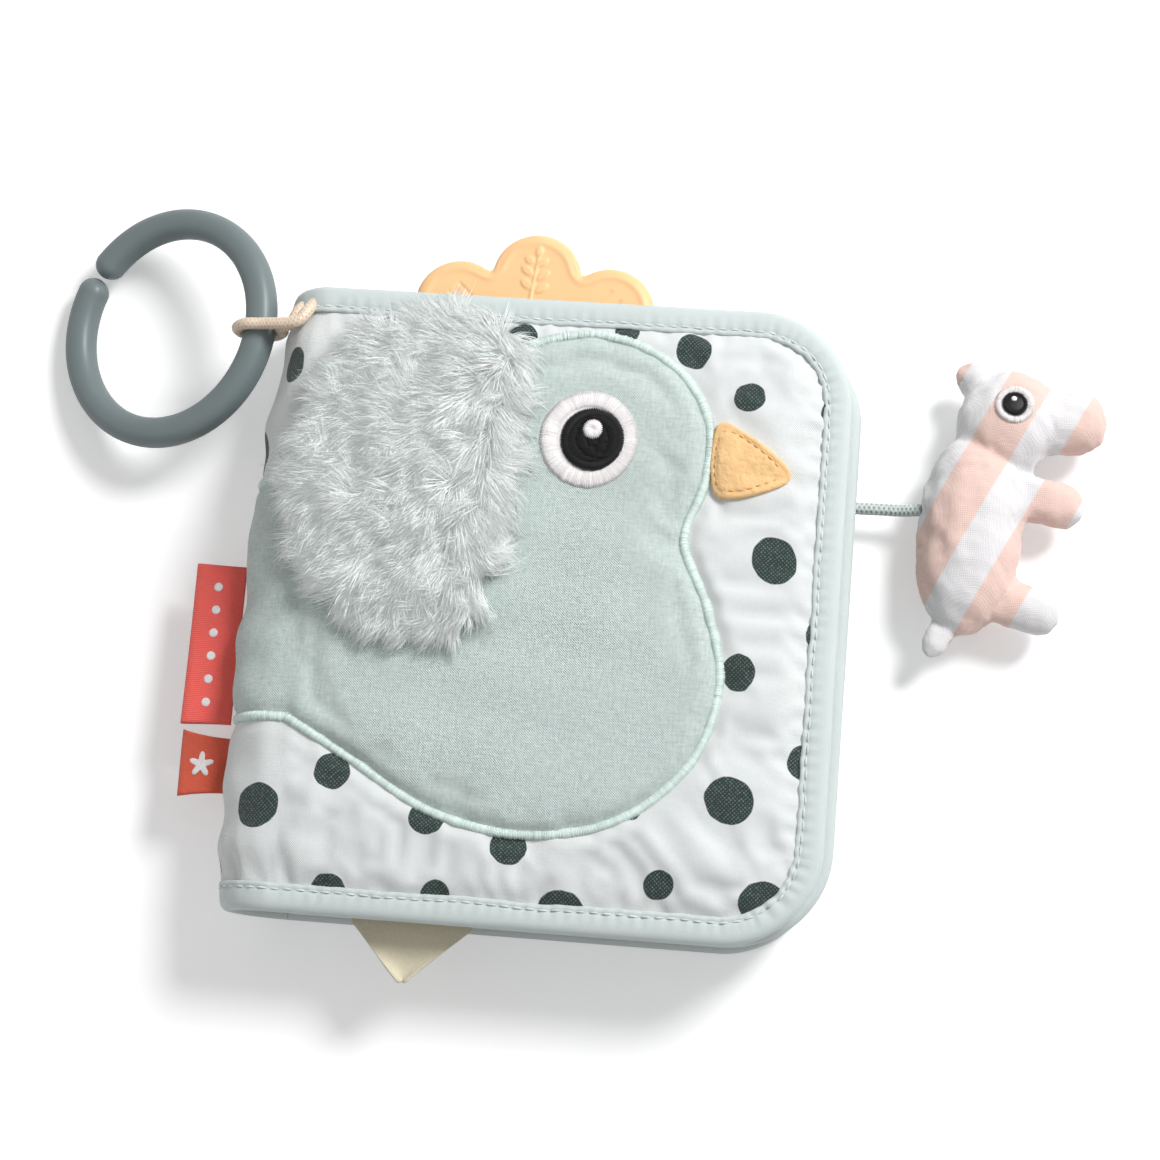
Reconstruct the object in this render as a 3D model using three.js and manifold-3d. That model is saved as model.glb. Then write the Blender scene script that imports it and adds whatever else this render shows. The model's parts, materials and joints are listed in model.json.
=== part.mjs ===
// A soft baby activity book, lying shut on its back cover, in millimetres
// +X from the spine to the fore-edge, +Y up the page, +Z out of the front cover; the origin on the flat
// underside of the back cover, below the middle of the book's cloth
import * as THREE from "three";
import { mergeVertices } from "three/addons/utils/BufferGeometryUtils.js";
import Module from "manifold-3d";

const wasm = await Module();
wasm.setup();

// Book block
const coverReach = 134.5; // fold to fore-edge
const pageHeight = 160;
const originShare = 0.461; // of the reach, from the fold to the origin
const foreCornerRadius = 25;
const foldCornerRadius = 4;
const cloth = 0.9; // one ply of cotton with its fusing
const clearance = 0.3; // between sewn layers
const pageGap = 0.5;
const coverThick = 8;
const backThick = 7;
const leafThick = 6;
const midShare = 0.48; // of the front cover's thickness, up to its binding's middle
const leafOverhang = 2.5; // the upper leaf past the cover
const leafInsetY = 1;
const rootSetback = 1.6; // leaf root behind the fold

// Edge binding
const bindingWidth = 7;
const tape = 0.9;
const tapeRound = 1.5;

// Padding
const coverCrown = 13; // width of the rise beside the binding
const liningCrown = 34;
const padEntry = 2.4; // wadding starts this far inside the binding
const foldSideShare = 0.12; // how much of each inset the fold side takes
const filmThick = 0.4;
const fillShares = [0, 0.1, 0.3, 1]; // insets of the wadding's rings

// Spine
const spineBulge = 16;
const spineWadding = 2.4;
const spineMargin = 1.2; // wadding edge from the binding

// Leaf gutter
const rootNose = 0.6; // leaf hinge line from the leaf's root edge
const gutterWeb = 2;
const gutterHead = 1.2;

// Artwork
const feltThick = 0.8;
const borderWidth = 2.7;
const borderThick = 1.3;
const foldRelief = 1.6; // artwork stops this far from the fold
const spineArtShare = 0.72; // of the half turn round the spine
const eyeShares = [0.515, 0.53];
const pupilShiftShares = [0.12, 0]; // of the pupil's radius
const glintShiftShares = [0, 0.3];
const eyeWhiteRadius = 12;
const eyePupilRadius = 8;
const eyeGlintRadius = 2.6;
const threadThick = 0.5;

// Wing flap
const wingPile = 9;
const wingRim = 8; // width of the pile's rounded edge
const wingPileInset = 2.4; // pile's widest line from the backing's edge
const wingSeamWidth = 3;
const seamShares = [[0.38, 0.83], [0.348, 0.08]]; // the flap's hinge line, top and foot

// Ring and its elastic
const ringRadius = 28.5; // centre line
const ringTube = 4;
const ringTilt = THREE.MathUtils.degToRad(22);
const ringGap = 0.9;
const ringGapAngle = THREE.MathUtils.degToRad(148);
const elasticDiameter = 3.1;
const loopShare = 0.89; // of the half page, where the loop leaves the spine
const exitTurns = [0.42, 0.72]; // round the arch, of the loop's upper and lower strand
const overPullShares = [-0.6, -0.9, 0]; // of the elastic's diameter, beside the upper exit
const underPullShares = [-0.25, -0.85, -0.2];
const wrapStops = [
  [75, -1.1],
  [120, -1.15],
  [165, -1.2],
  [210, -1.2],
  [255, -1.15],
  [300, -1.1],
  [345, -1.05],
  [20, -1],
]; // degrees round the ring's tube, and side shift in diameters

// Teether
const teetherThick = 4.6;
const lobeRing = 27.5; // centre to lobe centre
const lobeRadius = 11.5;
const lobeCount = 8;
const teetherEdge = 1.1;
const strapWidth = 12;
const strapThick = 0.5;
const strapTail = 12;
const barWidth = 3;
const barThick = 2;
const teetherSwing = THREE.MathUtils.degToRad(8);
const teetherShares = [0.382, 0.75];
const edgeRoundShare = 0.3; // of the edge's inset, halfway round it

// Pointed flap
const pointWidth = 30;
const pointDrop = 14; // below the page edge
const pointRoot = 26; // sewn depth under the cover
const pointPlaceShare = 0.255;
const pointTipShare = 0.02; // half width of the blunt tip

// Tags
const tagLength = 41;
const tagReach = 12.5;
const smallTagLength = 14;
const tagPly = 0.6;
const tagFold = 0.5;
const tagGap = 3.5;
const tagTopShare = 0.1; // of the half page

// Pendant toy
const toyLength = 72;
const toyStandoff = 17; // fore-edge of the upper leaf to the toy's back
const toyCordDiameter = 3.2;
const toyLift = 0.4;
const toyPlaceShare = 0.45; // of the half page
const toyFlat = 0.82; // thickness share of each stuffed round
const toyBodyRadius = 12;
const toyHeadRadius = 13;
const toyMuzzleRadius = 8.6;
const toyLegRadius = 5.6;
const toyEarRadius = 4.6;
const toyTailRadius = 2.9;
const toyEyeRadius = 3.6;
const tabLength = 8;
const tabWidth = 12;
const tabThick = 2.4;
const tabBehind = 0.5; // thread allowance under the tab

// Levels up the closed book
const foldX = -coverReach * originShare;
const foreX = foldX + coverReach;
const halfPage = pageHeight / 2;
const rimHalf = clearance / 2 + cloth;
const bindHalf = rimHalf + clearance + tape;
const softRise = { insetShares: [0, 0.1, 0.3, 0.6, 1], riseShares: [0, 0.45, 0.75, 0.93, 1] };
const innerRise = { insetShares: [0, 0.3, 1], riseShares: [0, 0.75, 1] };
const cordRiseShare = innerRise.riseShares[1];
const backMid = bindHalf + clearance / 2;
const leafHalf = leafThick / 2;
const backDrop = (backThick - backMid - rimHalf) * (1 - cordRiseShare);
const leafDrop = (leafHalf - rimHalf) * (1 - cordRiseShare);
const cordRoom = toyCordDiameter + 2 * clearance - backDrop - leafDrop;
const leafBBottom = backThick + cordRoom;
const leafBMid = leafBBottom + leafHalf;
const leafABottom = leafBBottom + leafThick + pageGap;
const leafAMid = leafABottom + leafHalf;
const leafATop = leafABottom + leafThick;
const frontBottom = leafATop + teetherThick + 2 * clearance;
const frontTop = frontBottom + coverThick;
const frontMid = frontBottom + coverThick * midShare;
const artBottom = frontTop + clearance;
const artTop = artBottom + feltThick;
const hingeZ = artTop + clearance;
const leafRootX = foldX + rootSetback;
const cordRootX = foreX - bindingWidth - liningCrown * innerRise.insetShares[1];

// Materials
const paint = (color, roughness, metalness = 0) =>
  new THREE.MeshStandardMaterial({ color, roughness, metalness });
const finishes = {
  cotton: () => paint(0xe9ebea, 0.85),
  sage: () => paint(0xa9b8b4, 0.85),
  lining: () => paint(0xdfe4e2, 0.85),
  satin: () => paint(0xc8d0d0, 0.5),
  mint: () => paint(0xbdd3cc, 0.6),
  wadding: () => paint(0xf3f3f0, 0.95),
  film: () => paint(0xdadfe2, 0.3),
  fur: () => paint(0xc5cac9, 0.95),
  charcoal: () => paint(0x26292a, 0.7),
  white: () => paint(0xf4f3f0, 0.7),
  apricot: () => paint(0xf0bd80, 0.55),
  coral: () => paint(0xf4665c, 0.7),
  rust: () => paint(0xd5492f, 0.75),
  cream: () => paint(0xdccfb0, 0.85),
  slate: () => paint(0x6d7a79, 0.5),
  rose: () => paint(0xd9b48e, 0.5),
  blush: () => paint(0xe3bbae, 0.85),
  grey: () => paint(0xaab9b6, 0.7),
};

const book = new THREE.Group();
const weldShare = 1.1e-4; // of a cloth's thickness

// One vertex where faces meet, so that a turned piece stays closed
function weld(geometry) {
  const plain = geometry.clone();
  plain.deleteAttribute("normal");
  plain.deleteAttribute("uv");
  const merged = mergeVertices(plain, cloth * weldShare);
  merged.computeVertexNormals();
  return merged;
}

function add(name, geometry, finish) {
  const mesh = new THREE.Mesh(weld(geometry), finishes[finish]());
  mesh.name = name;
  book.add(mesh);
  return mesh;
}

// Solids for cutting and joining
function toSolid(geometry) {
  const merged = weld(geometry);
  const vertProperties = merged.attributes.position.array;
  const triVerts = new Uint32Array(merged.index.array);
  return new wasm.Manifold(new wasm.Mesh({ numProp: 3, vertProperties, triVerts }));
}

function toGeometry(solid) {
  const made = solid.getMesh();
  const geometry = new THREE.BufferGeometry();
  geometry.setAttribute("position", new THREE.BufferAttribute(made.vertProperties, 3));
  geometry.setIndex(new THREE.BufferAttribute(made.triVerts, 1));
  geometry.computeVertexNormals();
  return geometry;
}

const cut = (geometry, ...tools) =>
  toGeometry(tools.reduce((solid, tool) => solid.subtract(toSolid(tool)), toSolid(geometry)));
const join = (...pieces) =>
  toGeometry(pieces.map(toSolid).reduce((solid, piece) => solid.add(piece)));

// A closed skin over rings of equal count, capped by the triangles of the ring's flat contour
function loft(rings, contour) {
  const count = rings[0].length;
  const clockwise = THREE.ShapeUtils.isClockWise(contour);
  const caps = THREE.ShapeUtils.triangulateShape(contour, []).map((t) => (clockwise ? t.reverse() : t));
  const index = [];
  for (let r = 0; r + 1 < rings.length; r += 1) {
    for (let i = 0; i < count; i += 1) {
      const a = r * count + i;
      const b = r * count + ((i + 1) % count);
      index.push(a, b, b + count, a, b + count, a + count);
    }
  }
  const last = (rings.length - 1) * count;
  for (const [a, b, c] of caps) {
    index.push(c, b, a, last + a, last + b, last + c);
  }
  const points = rings.flat();
  const geometry = new THREE.BufferGeometry().setFromPoints(points);
  let volume = 0;
  for (let i = 0; i < index.length; i += 3) {
    const [a, b, c] = [points[index[i]], points[index[i + 1]], points[index[i + 2]]];
    volume += a.dot(b.clone().cross(c));
  }
  geometry.setIndex(volume < 0 ? index.reverse() : index);
  geometry.computeVertexNormals();
  return geometry;
}

const cornerSteps = 6;
const flat = (ring) => ring.map((p) => new THREE.Vector2(p.x, p.y));
const vec = (x, y, z = 0) => new THREE.Vector3(x, y, z);

// Page outline at an inset: from the fold at the foot, round the fore-edge to the fold at the head
function edgeLine(page, inset) {
  const half = page.half - inset;
  const fore = page.fore - inset;
  const radius = Math.max(foreCornerRadius - inset, foldCornerRadius);
  const line = [vec(page.root, -half)];
  for (const side of [-1, 1]) {
    for (let i = 0; i <= cornerSteps; i += 1) {
      const turn = (Math.PI / 2) * (side < 0 ? 1 - i / cornerSteps : i / cornerSteps);
      const x = fore - radius + radius * Math.cos(turn);
      line.push(vec(x, side * (half - radius + radius * Math.sin(turn))));
    }
  }
  line.push(vec(page.root, half));
  return line;
}

// The same outline closed, its fold side drawn in a little and its fold corners rounded
function padRing(page, inset, z) {
  const line = edgeLine(page, inset);
  const x = page.root + clearance + inset * foldSideShare;
  const half = page.half - inset;
  line[0] = vec(x + foldCornerRadius, -half);
  line[line.length - 1] = vec(x + foldCornerRadius, half);
  const bevel = foldCornerRadius * Math.SQRT1_2;
  line.push(vec(x + foldCornerRadius - bevel, half - foldCornerRadius + bevel));
  line.push(vec(x, half - foldCornerRadius));
  line.push(vec(x, foldCornerRadius - half));
  line.push(vec(x + foldCornerRadius - bevel, foldCornerRadius - half - bevel));
  return line.map((p) => vec(p.x, p.y, z));
}

// Height of a pad's face over its rim plane, at each station of its rise
function stations({ crown, half, rise }) {
  const start = bindingWidth + clearance;
  return rise.insetShares.map((share, i) => ({
    inset: start + share * crown,
    rise: rimHalf + (half - rimHalf) * rise.riseShares[i],
  }));
}

const rimInset = tape + 2 * clearance;

// One ply of cloth that follows a pad's upper (side 1) or lower (side -1) face
function ply(page, side, face) {
  const path = [{ inset: rimInset, rise: rimHalf }, ...stations(face)];
  const outer = path.map((s) => padRing(page, s.inset, page.mid + side * s.rise));
  const inner = path.map((s) => padRing(page, s.inset, page.mid + side * (s.rise - cloth)));
  const rings = [...outer.reverse(), ...inner];
  return loft(rings, flat(rings[0]));
}

// The filling between two plies: the rise of each face at shared insets
function filling(page, upper, lower, filmRoom = 0) {
  const start = bindingWidth + padEntry;
  const reach = Math.max(upper.crown, lower.crown);
  const insets = fillShares.map((share) => start + share * reach);
  const riseAt = (face, inset) => {
    const steps = stations(face);
    const next = steps.findIndex((s) => s.inset >= inset);
    if (next < 0) return face.half;
    if (next === 0) return rimHalf;
    const [a, b] = [steps[next - 1], steps[next]];
    return a.rise + ((b.rise - a.rise) * (inset - a.inset)) / (b.inset - a.inset);
  };
  const skin = cloth + clearance;
  const top = insets.map((inset) =>
    padRing(page, inset, page.mid + riseAt(upper, inset) - skin - filmRoom),
  );
  const base = insets.map((inset) => padRing(page, inset, page.mid - riseAt(lower, inset) + skin));
  const rings = [...top.reverse(), ...base];
  return loft(rings, flat(rings[0]));
}

// The folded tape round a page's three free edges
function binding(page) {
  const slot = rimHalf + clearance;
  const wall = tape + clearance;
  const profile = [
    [bindingWidth, bindHalf],
    [tapeRound, bindHalf - tape / 4],
    [tapeRound / 4, bindHalf - tapeRound],
    [0, 0],
    [tapeRound / 4, tapeRound - bindHalf],
    [tapeRound, tape / 4 - bindHalf],
    [bindingWidth, -bindHalf],
    [bindingWidth, -slot],
    [wall, -slot],
    [wall, slot],
    [bindingWidth, slot],
  ];
  const lines = profile.map(([inset]) => edgeLine(page, inset));
  const last = lines[0].length - 1;
  const rings = lines[0].map((_, i) => {
    const shift = i === 0 || i === last ? clearance : 0;
    return profile.map(([, z], k) => vec(lines[k][i].x + shift, lines[k][i].y, page.mid + z));
  });
  return loft(rings, profile.map(([x, z]) => new THREE.Vector2(x, z)));
}

// Pages
const pages = {
  front: { root: foldX, fore: foreX, half: halfPage, mid: frontMid },
  leafA: { root: leafRootX, fore: foreX + leafOverhang, half: halfPage - leafInsetY, mid: leafAMid },
  leafB: { root: leafRootX, fore: foreX + leafOverhang / 2, half: halfPage - leafInsetY, mid: leafBMid },
  back: { root: foldX, fore: foreX, half: halfPage, mid: backMid },
};
const frontFace = { crown: coverCrown, half: frontTop - frontMid, rise: softRise };
const frontLining = { crown: liningCrown, half: frontMid - frontBottom, rise: innerRise };
const backFace = { crown: coverCrown, half: backMid, rise: softRise };
const backLining = { crown: liningCrown, half: backThick - backMid, rise: innerRise };
const leafFace = { crown: liningCrown, half: leafHalf, rise: innerRise };

const filmDepth = filmThick + clearance;
add("front_cover_panel", ply(pages.front, 1, frontFace), "cotton");
add("front_cover_wadding", filling(pages.front, frontFace, frontLining, filmDepth), "wadding");
add("front_cover_lining", ply(pages.front, -1, frontLining), "lining");
add("front_cover_binding", binding(pages.front), "satin");

const filmInset = bindingWidth + clearance + coverCrown;
const filmTop = frontTop - cloth - clearance;
const filmRings = [filmTop, filmTop - filmThick].map((z) => padRing(pages.front, filmInset, z));
add("front_cover_crinkle_film", loft(filmRings, flat(filmRings[0])), "film");

for (const name of ["leafA", "leafB"]) {
  const page = pages[name];
  const node = name === "leafA" ? "leaf_a" : "leaf_b";
  add(node + "_upper_panel", ply(page, 1, leafFace), "cotton");
  add(node + "_wadding", filling(page, leafFace, leafFace), "wadding");
  add(node + "_lower_panel", ply(page, -1, leafFace), "cotton");
  add(node + "_binding", binding(page), "satin");
}

add("back_cover_panel", ply(pages.back, -1, backFace), "cotton");
add("back_cover_wadding", filling(pages.back, backLining, backFace), "wadding");
add("back_cover_lining", ply(pages.back, 1, backLining), "lining");
add("back_cover_binding", binding(pages.back), "satin");

// Spine: an arch from the back cover's face round to the front cover's, fuller at its middle
const archHalf = frontTop / 2;
const archStationShares = [-1, -0.92, -0.8, -0.5, 0, 0.45, 0.7, 0.82, 0.92, 1];
const archBulgeShares = [0.84, 0.9, 1, 1, 1, 0.97, 0.86, 0.77, 0.7, 0.66];
const archPinchShares = [1, 1, 0.1, 0, 0, 0, 0, 0.1, 1, 1];
const pinchedHalf = (frontMid - backMid) / 2 + rimHalf;
const pinchedMid = (frontMid + backMid) / 2;
const archSteps = 12;

function stationValue(shares, yShare) {
  const next = Math.max(1, archStationShares.findIndex((s) => s >= yShare));
  const [a, b] = [archStationShares[next - 1], archStationShares[next]];
  const t = (yShare - a) / (b - a);
  return shares[next - 1] * (1 - t) + shares[next] * t;
}

// Surface point of the arch, moved out by an offset, at a turn from its top (0) to its foot (PI)
function archPoint(yShare, offset, turn) {
  const depth = spineBulge * stationValue(archBulgeShares, yShare) + offset;
  const pinch = stationValue(archPinchShares, yShare);
  const half = archHalf * (1 - pinch) + pinchedHalf * pinch + offset;
  const mid = archHalf * (1 - pinch) + pinchedMid * pinch;
  const x = foldX - clearance - depth * Math.sin(turn);
  return vec(x, yShare * halfPage, mid + half * Math.cos(turn));
}

// A shell of the arch between two offsets, over a span of shares of the half page
function archShell(outerOffset, thick, low, high, turnStart = 0, turnEnd = Math.PI) {
  const span = archStationShares.filter((s) => s > low && s < high);
  const rings = [low, ...span, high].map((yShare) => {
    const ring = [];
    const turnAt = (i) => turnStart + ((turnEnd - turnStart) * i) / archSteps;
    for (let i = 0; i <= archSteps; i += 1) {
      ring.push(archPoint(yShare, outerOffset, turnAt(i)));
    }
    for (let i = archSteps; i >= 0; i -= 1) {
      ring.push(archPoint(yShare, outerOffset - thick, turnAt(i)));
    }
    return ring;
  });
  return loft(rings, rings[0].map((p) => new THREE.Vector2(p.x, p.z)));
}

const seamShare = (halfPage - rimInset) / halfPage;
const fillShare = (halfPage - bindingWidth - spineMargin) / halfPage;
const tapeShare = (halfPage - bindingWidth) / halfPage;
const spineFill = -cloth - clearance;
const spineLiningOuter = spineFill - spineWadding - clearance;
const spineInner = spineLiningOuter - cloth;
add("spine_panel", archShell(0, cloth, -seamShare, seamShare), "cotton");
add("spine_wadding", archShell(spineFill, spineWadding, -fillShare, fillShare), "wadding");
add("spine_lining", archShell(spineLiningOuter, cloth, -seamShare, seamShare), "lining");

// The tape over each end of the arch: a capped channel
const channelOuter = clearance + tape;
const channelThick = channelOuter - spineInner + clearance + tape;
const roomThick = 2 * clearance - spineInner;
const turnSlack = clearance / archHalf;
const ascending = (a, b) => [Math.min(a, b), Math.max(a, b)];
for (const [node, side] of [["spine_binding_top", 1], ["spine_binding_bottom", -1]]) {
  const [low, high] = ascending(side * tapeShare, side);
  const [roomLow, roomHigh] = ascending(
    side * (tapeShare - clearance / halfPage),
    side * (1 - tape / halfPage),
  );
  const whole = archShell(channelOuter, channelThick, low, high);
  const hollow = archShell(clearance, roomThick, roomLow, roomHigh, -turnSlack, Math.PI + turnSlack);
  add(node, cut(whole, hollow), "satin");
}

// Gutter: a T-shaped strip that the two leaves are sewn to
const noseRadius = Math.hypot(rootNose, rimHalf);
const leafWallX = leafRootX + clearance + rimInset * foldSideShare;
const leafHingeX = leafWallX + rootNose;
const gutterFaceX = leafHingeX - noseRadius - clearance;
const gutterShare = (halfPage - bindingWidth - foldCornerRadius) / halfPage;
const gutterMid = (leafAMid + leafBMid) / 2;
const headTop = leafAMid + rimHalf;
const headBottom = leafBMid - rimHalf;
const gutterSpan = archStationShares.filter((share) => Math.abs(share) < gutterShare);
const gutterTurn = Math.acos((gutterMid - gutterWeb - archHalf) / (archHalf + spineInner));
const gutterRings = [-gutterShare, ...gutterSpan, gutterShare].map((yShare) => {
  const backX = archPoint(yShare, spineInner, gutterTurn).x + clearance;
  return [
    [backX, gutterMid - gutterWeb / 2],
    [gutterFaceX - gutterHead, gutterMid - gutterWeb / 2],
    [gutterFaceX - gutterHead, headBottom],
    [gutterFaceX, headBottom],
    [gutterFaceX, headTop],
    [gutterFaceX - gutterHead, headTop],
    [gutterFaceX - gutterHead, gutterMid + gutterWeb / 2],
    [backX, gutterMid + gutterWeb / 2],
  ].map(([x, z]) => vec(x, yShare * halfPage, z));
});
const gutterContour = gutterRings[0].map((p) => new THREE.Vector2(p.x, p.z));
add("page_gutter", loft(gutterRings, gutterContour), "lining");

// A profile in X and Z, drawn along Y between two places
function alongPage(shape, fromY, toY) {
  const geometry = new THREE.ExtrudeGeometry(shape, { depth: toY - fromY, bevelEnabled: false, steps: 1 });
  geometry.rotateX(Math.PI / 2);
  geometry.translate(0, toY, 0);
  return geometry;
}

// A flat piece cut to an outline
function plate(outline, bottom, thick) {
  const shape = new THREE.Shape(outline);
  const geometry = new THREE.ExtrudeGeometry(shape, { depth: thick, bevelEnabled: false, steps: 1 });
  geometry.translate(0, 0, bottom);
  return geometry;
}

const onCover = ([sx, sy]) => vec(foldX + sx * coverReach, sy * halfPage);

// A smooth line through points, with its side normals
function smoothLine(points, count, closed = false) {
  const curve = new THREE.CatmullRomCurve3(points, closed, "centripetal");
  const places = curve.getSpacedPoints(count);
  if (closed) places.pop();
  return places;
}

function offsetLine(line, distance) {
  return line.map((p, i) => {
    const before = line[Math.max(i - 1, 0)];
    const after = line[Math.min(i + 1, line.length - 1)];
    const along = after.clone().sub(before).normalize();
    return new THREE.Vector2(p.x - along.y * distance, p.y + along.x * distance);
  });
}

// Applique bird: from the fold over its back and head, down its breast and back to the fold at the tail
const birdShares = [
  [0, 0.36],
  [0.12, 0.47],
  [0.25, 0.67],
  [0.38, 0.83],
  [0.52, 0.885],
  [0.66, 0.8],
  [0.735, 0.62],
  [0.735, 0.42],
  [0.705, 0.24],
  [0.755, 0.04],
  [0.79, -0.2],
  [0.75, -0.45],
  [0.63, -0.64],
  [0.46, -0.71],
  [0.28, -0.66],
  [0.13, -0.52],
  [0, -0.4],
];
const birdPoints = birdShares.map(onCover);
birdPoints[0].x += foldRelief;
birdPoints[birdPoints.length - 1].x += foldRelief;
const birdLine = smoothLine(birdPoints, 44);
const borderHalf = borderWidth / 2;
const borderOutline = [...offsetLine(birdLine, borderHalf), ...offsetLine(birdLine, -borderHalf).reverse()];
add("applique_border", plate(borderOutline, artBottom, borderThick), "mint");
const birdInner = offsetLine(birdLine, -borderHalf - clearance);
add("applique_bird", plate(birdInner, artBottom, feltThick), "sage");

const beakShares = [[0.755, 0.6], [0.88, 0.49], [0.885, 0.46], [0.875, 0.43], [0.76, 0.4]];
const beakPoints = beakShares.map(onCover).map((p) => new THREE.Vector2(p.x + borderHalf, p.y));
add("applique_beak", plate(beakPoints, artBottom, feltThick), "apricot");

// The bird's back carries on round the spine
const tailLow = birdShares[birdShares.length - 1][1];
const backHigh = birdShares[0][1];
const artTurn = foldRelief / archHalf;
const artEnd = Math.PI * spineArtShare;
const spineArt = archShell(clearance + feltThick, feltThick, tailLow, backHigh, artTurn, artEnd);
add("spine_applique", spineArt, "sage");

// Eye: three discs stitched on each other
const eyePlace = onCover(eyeShares);
function disc(radius, bottom, thick, sides, shiftShares = [0, 0]) {
  const geometry = new THREE.CylinderGeometry(radius, radius, thick, sides);
  geometry.rotateX(Math.PI / 2);
  const x = eyePlace.x + shiftShares[0] * eyePupilRadius;
  geometry.translate(x, eyePlace.y + shiftShares[1] * eyePupilRadius, bottom + thick / 2);
  return geometry;
}
const eyeBottom = artTop + clearance;
const pupilBottom = eyeBottom + threadThick + clearance;
const glintBottom = pupilBottom + threadThick + clearance;
add("eye_white", disc(eyeWhiteRadius, eyeBottom, threadThick, 28), "white");
add("eye_pupil", disc(eyePupilRadius, pupilBottom, threadThick, 24, pupilShiftShares), "charcoal");
add("eye_glint", disc(eyeGlintRadius, glintBottom, threadThick, 12, glintShiftShares), "white");

// Wing flap: a long-pile pad on a cloth backing, sewn down along its right side
const wingShares = [
  [0.03, 0.31],
  [0.06, 0.57],
  [0.13, 0.8],
  [0.23, 0.935],
  [0.33, 0.95],
  [0.374, 0.83],
  [0.363, 0.6],
  [0.352, 0.32],
  [0.341, 0.08],
  [0.3, -0.06],
  [0.23, -0.08],
  [0.13, 0.01],
  [0.06, 0.14],
];
const wingOutline = smoothLine(wingShares.map(onCover), 36, true);
const wingCentre = wingOutline.reduce((sum, p) => sum.add(p), vec(0, 0)).divideScalar(wingOutline.length);
function wingRing(inset, z) {
  return wingOutline.map((p) => {
    const spoke = p.clone().sub(wingCentre);
    const reach = spoke.length();
    const place = wingCentre.clone().add(spoke.multiplyScalar((reach - inset) / reach));
    return vec(place.x, place.y, z);
  });
}
const backingBottom = artBottom + borderThick + clearance;
const pileBottom = backingBottom + cloth + clearance;
const backingRings = [wingRing(0, backingBottom), wingRing(0, backingBottom + cloth)];
add("wing_backing", loft(backingRings, flat(backingRings[0])), "sage");
const pileShares = [
  [0.3, 0],
  [0, 0.2],
  [0.12, 0.43],
  [0.5, 0.75],
  [1, 0.94],
  [1.8, 1],
];
const pileRings = pileShares.map(([insetShare, heightShare]) =>
  wingRing(wingPileInset + wingRim * insetShare, pileBottom + wingPile * heightShare),
);
add("wing_fur", loft(pileRings, flat(pileRings[0])), "fur");

// Seam tape along the flap's hinge line
const seamLine = seamShares.map(onCover);
const seamOutline = [
  ...offsetLine(seamLine, 0),
  ...offsetLine(seamLine, wingSeamWidth).reverse(),
];
add("wing_seam_tape", plate(seamOutline, backingBottom, cloth), "satin");

// Ring: a split round of tube with ball ends, leaning on the book's shoulder
const ringRightZ = clearance + ringTube + 2 * ringRadius * Math.sin(ringTilt);
const shoulderTurn = Math.acos((ringRightZ - archHalf) / archHalf);
const shoulderX = archPoint(loopShare, channelOuter - clearance, shoulderTurn).x;
const tubeX = shoulderX - clearance - elasticDiameter - clearance - ringTube;
const ringCentre = vec(
  tubeX - ringRadius * Math.cos(ringTilt),
  loopShare * halfPage,
  ringRightZ - ringRadius * Math.sin(ringTilt),
);
const ringRight = vec(Math.cos(ringTilt), 0, Math.sin(ringTilt));
const ringPoint = (angle) =>
  ringCentre
    .clone()
    .addScaledVector(ringRight, ringRadius * Math.cos(angle))
    .add(vec(0, ringRadius * Math.sin(angle)));

function roundSection(radius, sides) {
  const points = [];
  for (let i = 0; i < sides; i += 1) {
    const turn = (2 * Math.PI * i) / sides;
    points.push(new THREE.Vector2(radius * Math.cos(turn), radius * Math.sin(turn)));
  }
  return new THREE.Shape(points);
}

function tube(points, radius, sides, steps) {
  const path = new THREE.CatmullRomCurve3(points, false, "centripetal");
  return new THREE.ExtrudeGeometry(roundSection(radius, sides), { extrudePath: path, steps });
}

const endAngle = (ringTube + ringGap / 2) / ringRadius;
const ringSteps = 40;
const ringArc = [];
for (let i = 0; i <= ringSteps; i += 1) {
  ringArc.push(ringPoint(ringGapAngle + endAngle + ((2 * Math.PI - 2 * endAngle) * i) / ringSteps));
}
const ringEnds = [ringArc[0], ringArc[ringArc.length - 1]].map((p) => {
  const ball = new THREE.SphereGeometry(ringTube, 12, 8);
  ball.translate(p.x, p.y, p.z);
  return ball;
});
add("clip_ring", join(tube(ringArc, ringTube, 12, ringSteps), ...ringEnds), "slate");

// Elastic: out from under the spine's tape, round the ring's tube and back
const wrap = ringTube + clearance + elasticDiameter / 2;
const tubeCentre = ringPoint(0);
const loopExitY = tapeShare * halfPage - clearance;
const [exitOver, exitUnder] = exitTurns.map((turn) => {
  const place = archPoint(loopShare, channelOuter + elasticDiameter / 2 - clearance, turn);
  place.y = loopExitY;
  return place;
});
const wrapPoint = ([degrees, shiftShare]) => {
  const turn = THREE.MathUtils.degToRad(degrees);
  const place = tubeCentre.clone().add(vec(wrap * Math.cos(turn), 0, wrap * Math.sin(turn)));
  place.y = loopExitY + shiftShare * elasticDiameter;
  return place;
};
const pulled = (place, shares) => place.clone().addScaledVector(vec(...shares), elasticDiameter);
const elasticPath = [
  exitOver,
  pulled(exitOver, overPullShares),
  ...wrapStops.map(wrapPoint),
  pulled(exitUnder, underPullShares),
  exitUnder,
];
add("elastic_loop", tube(elasticPath, elasticDiameter / 2, 8, 28), "rose");

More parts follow.
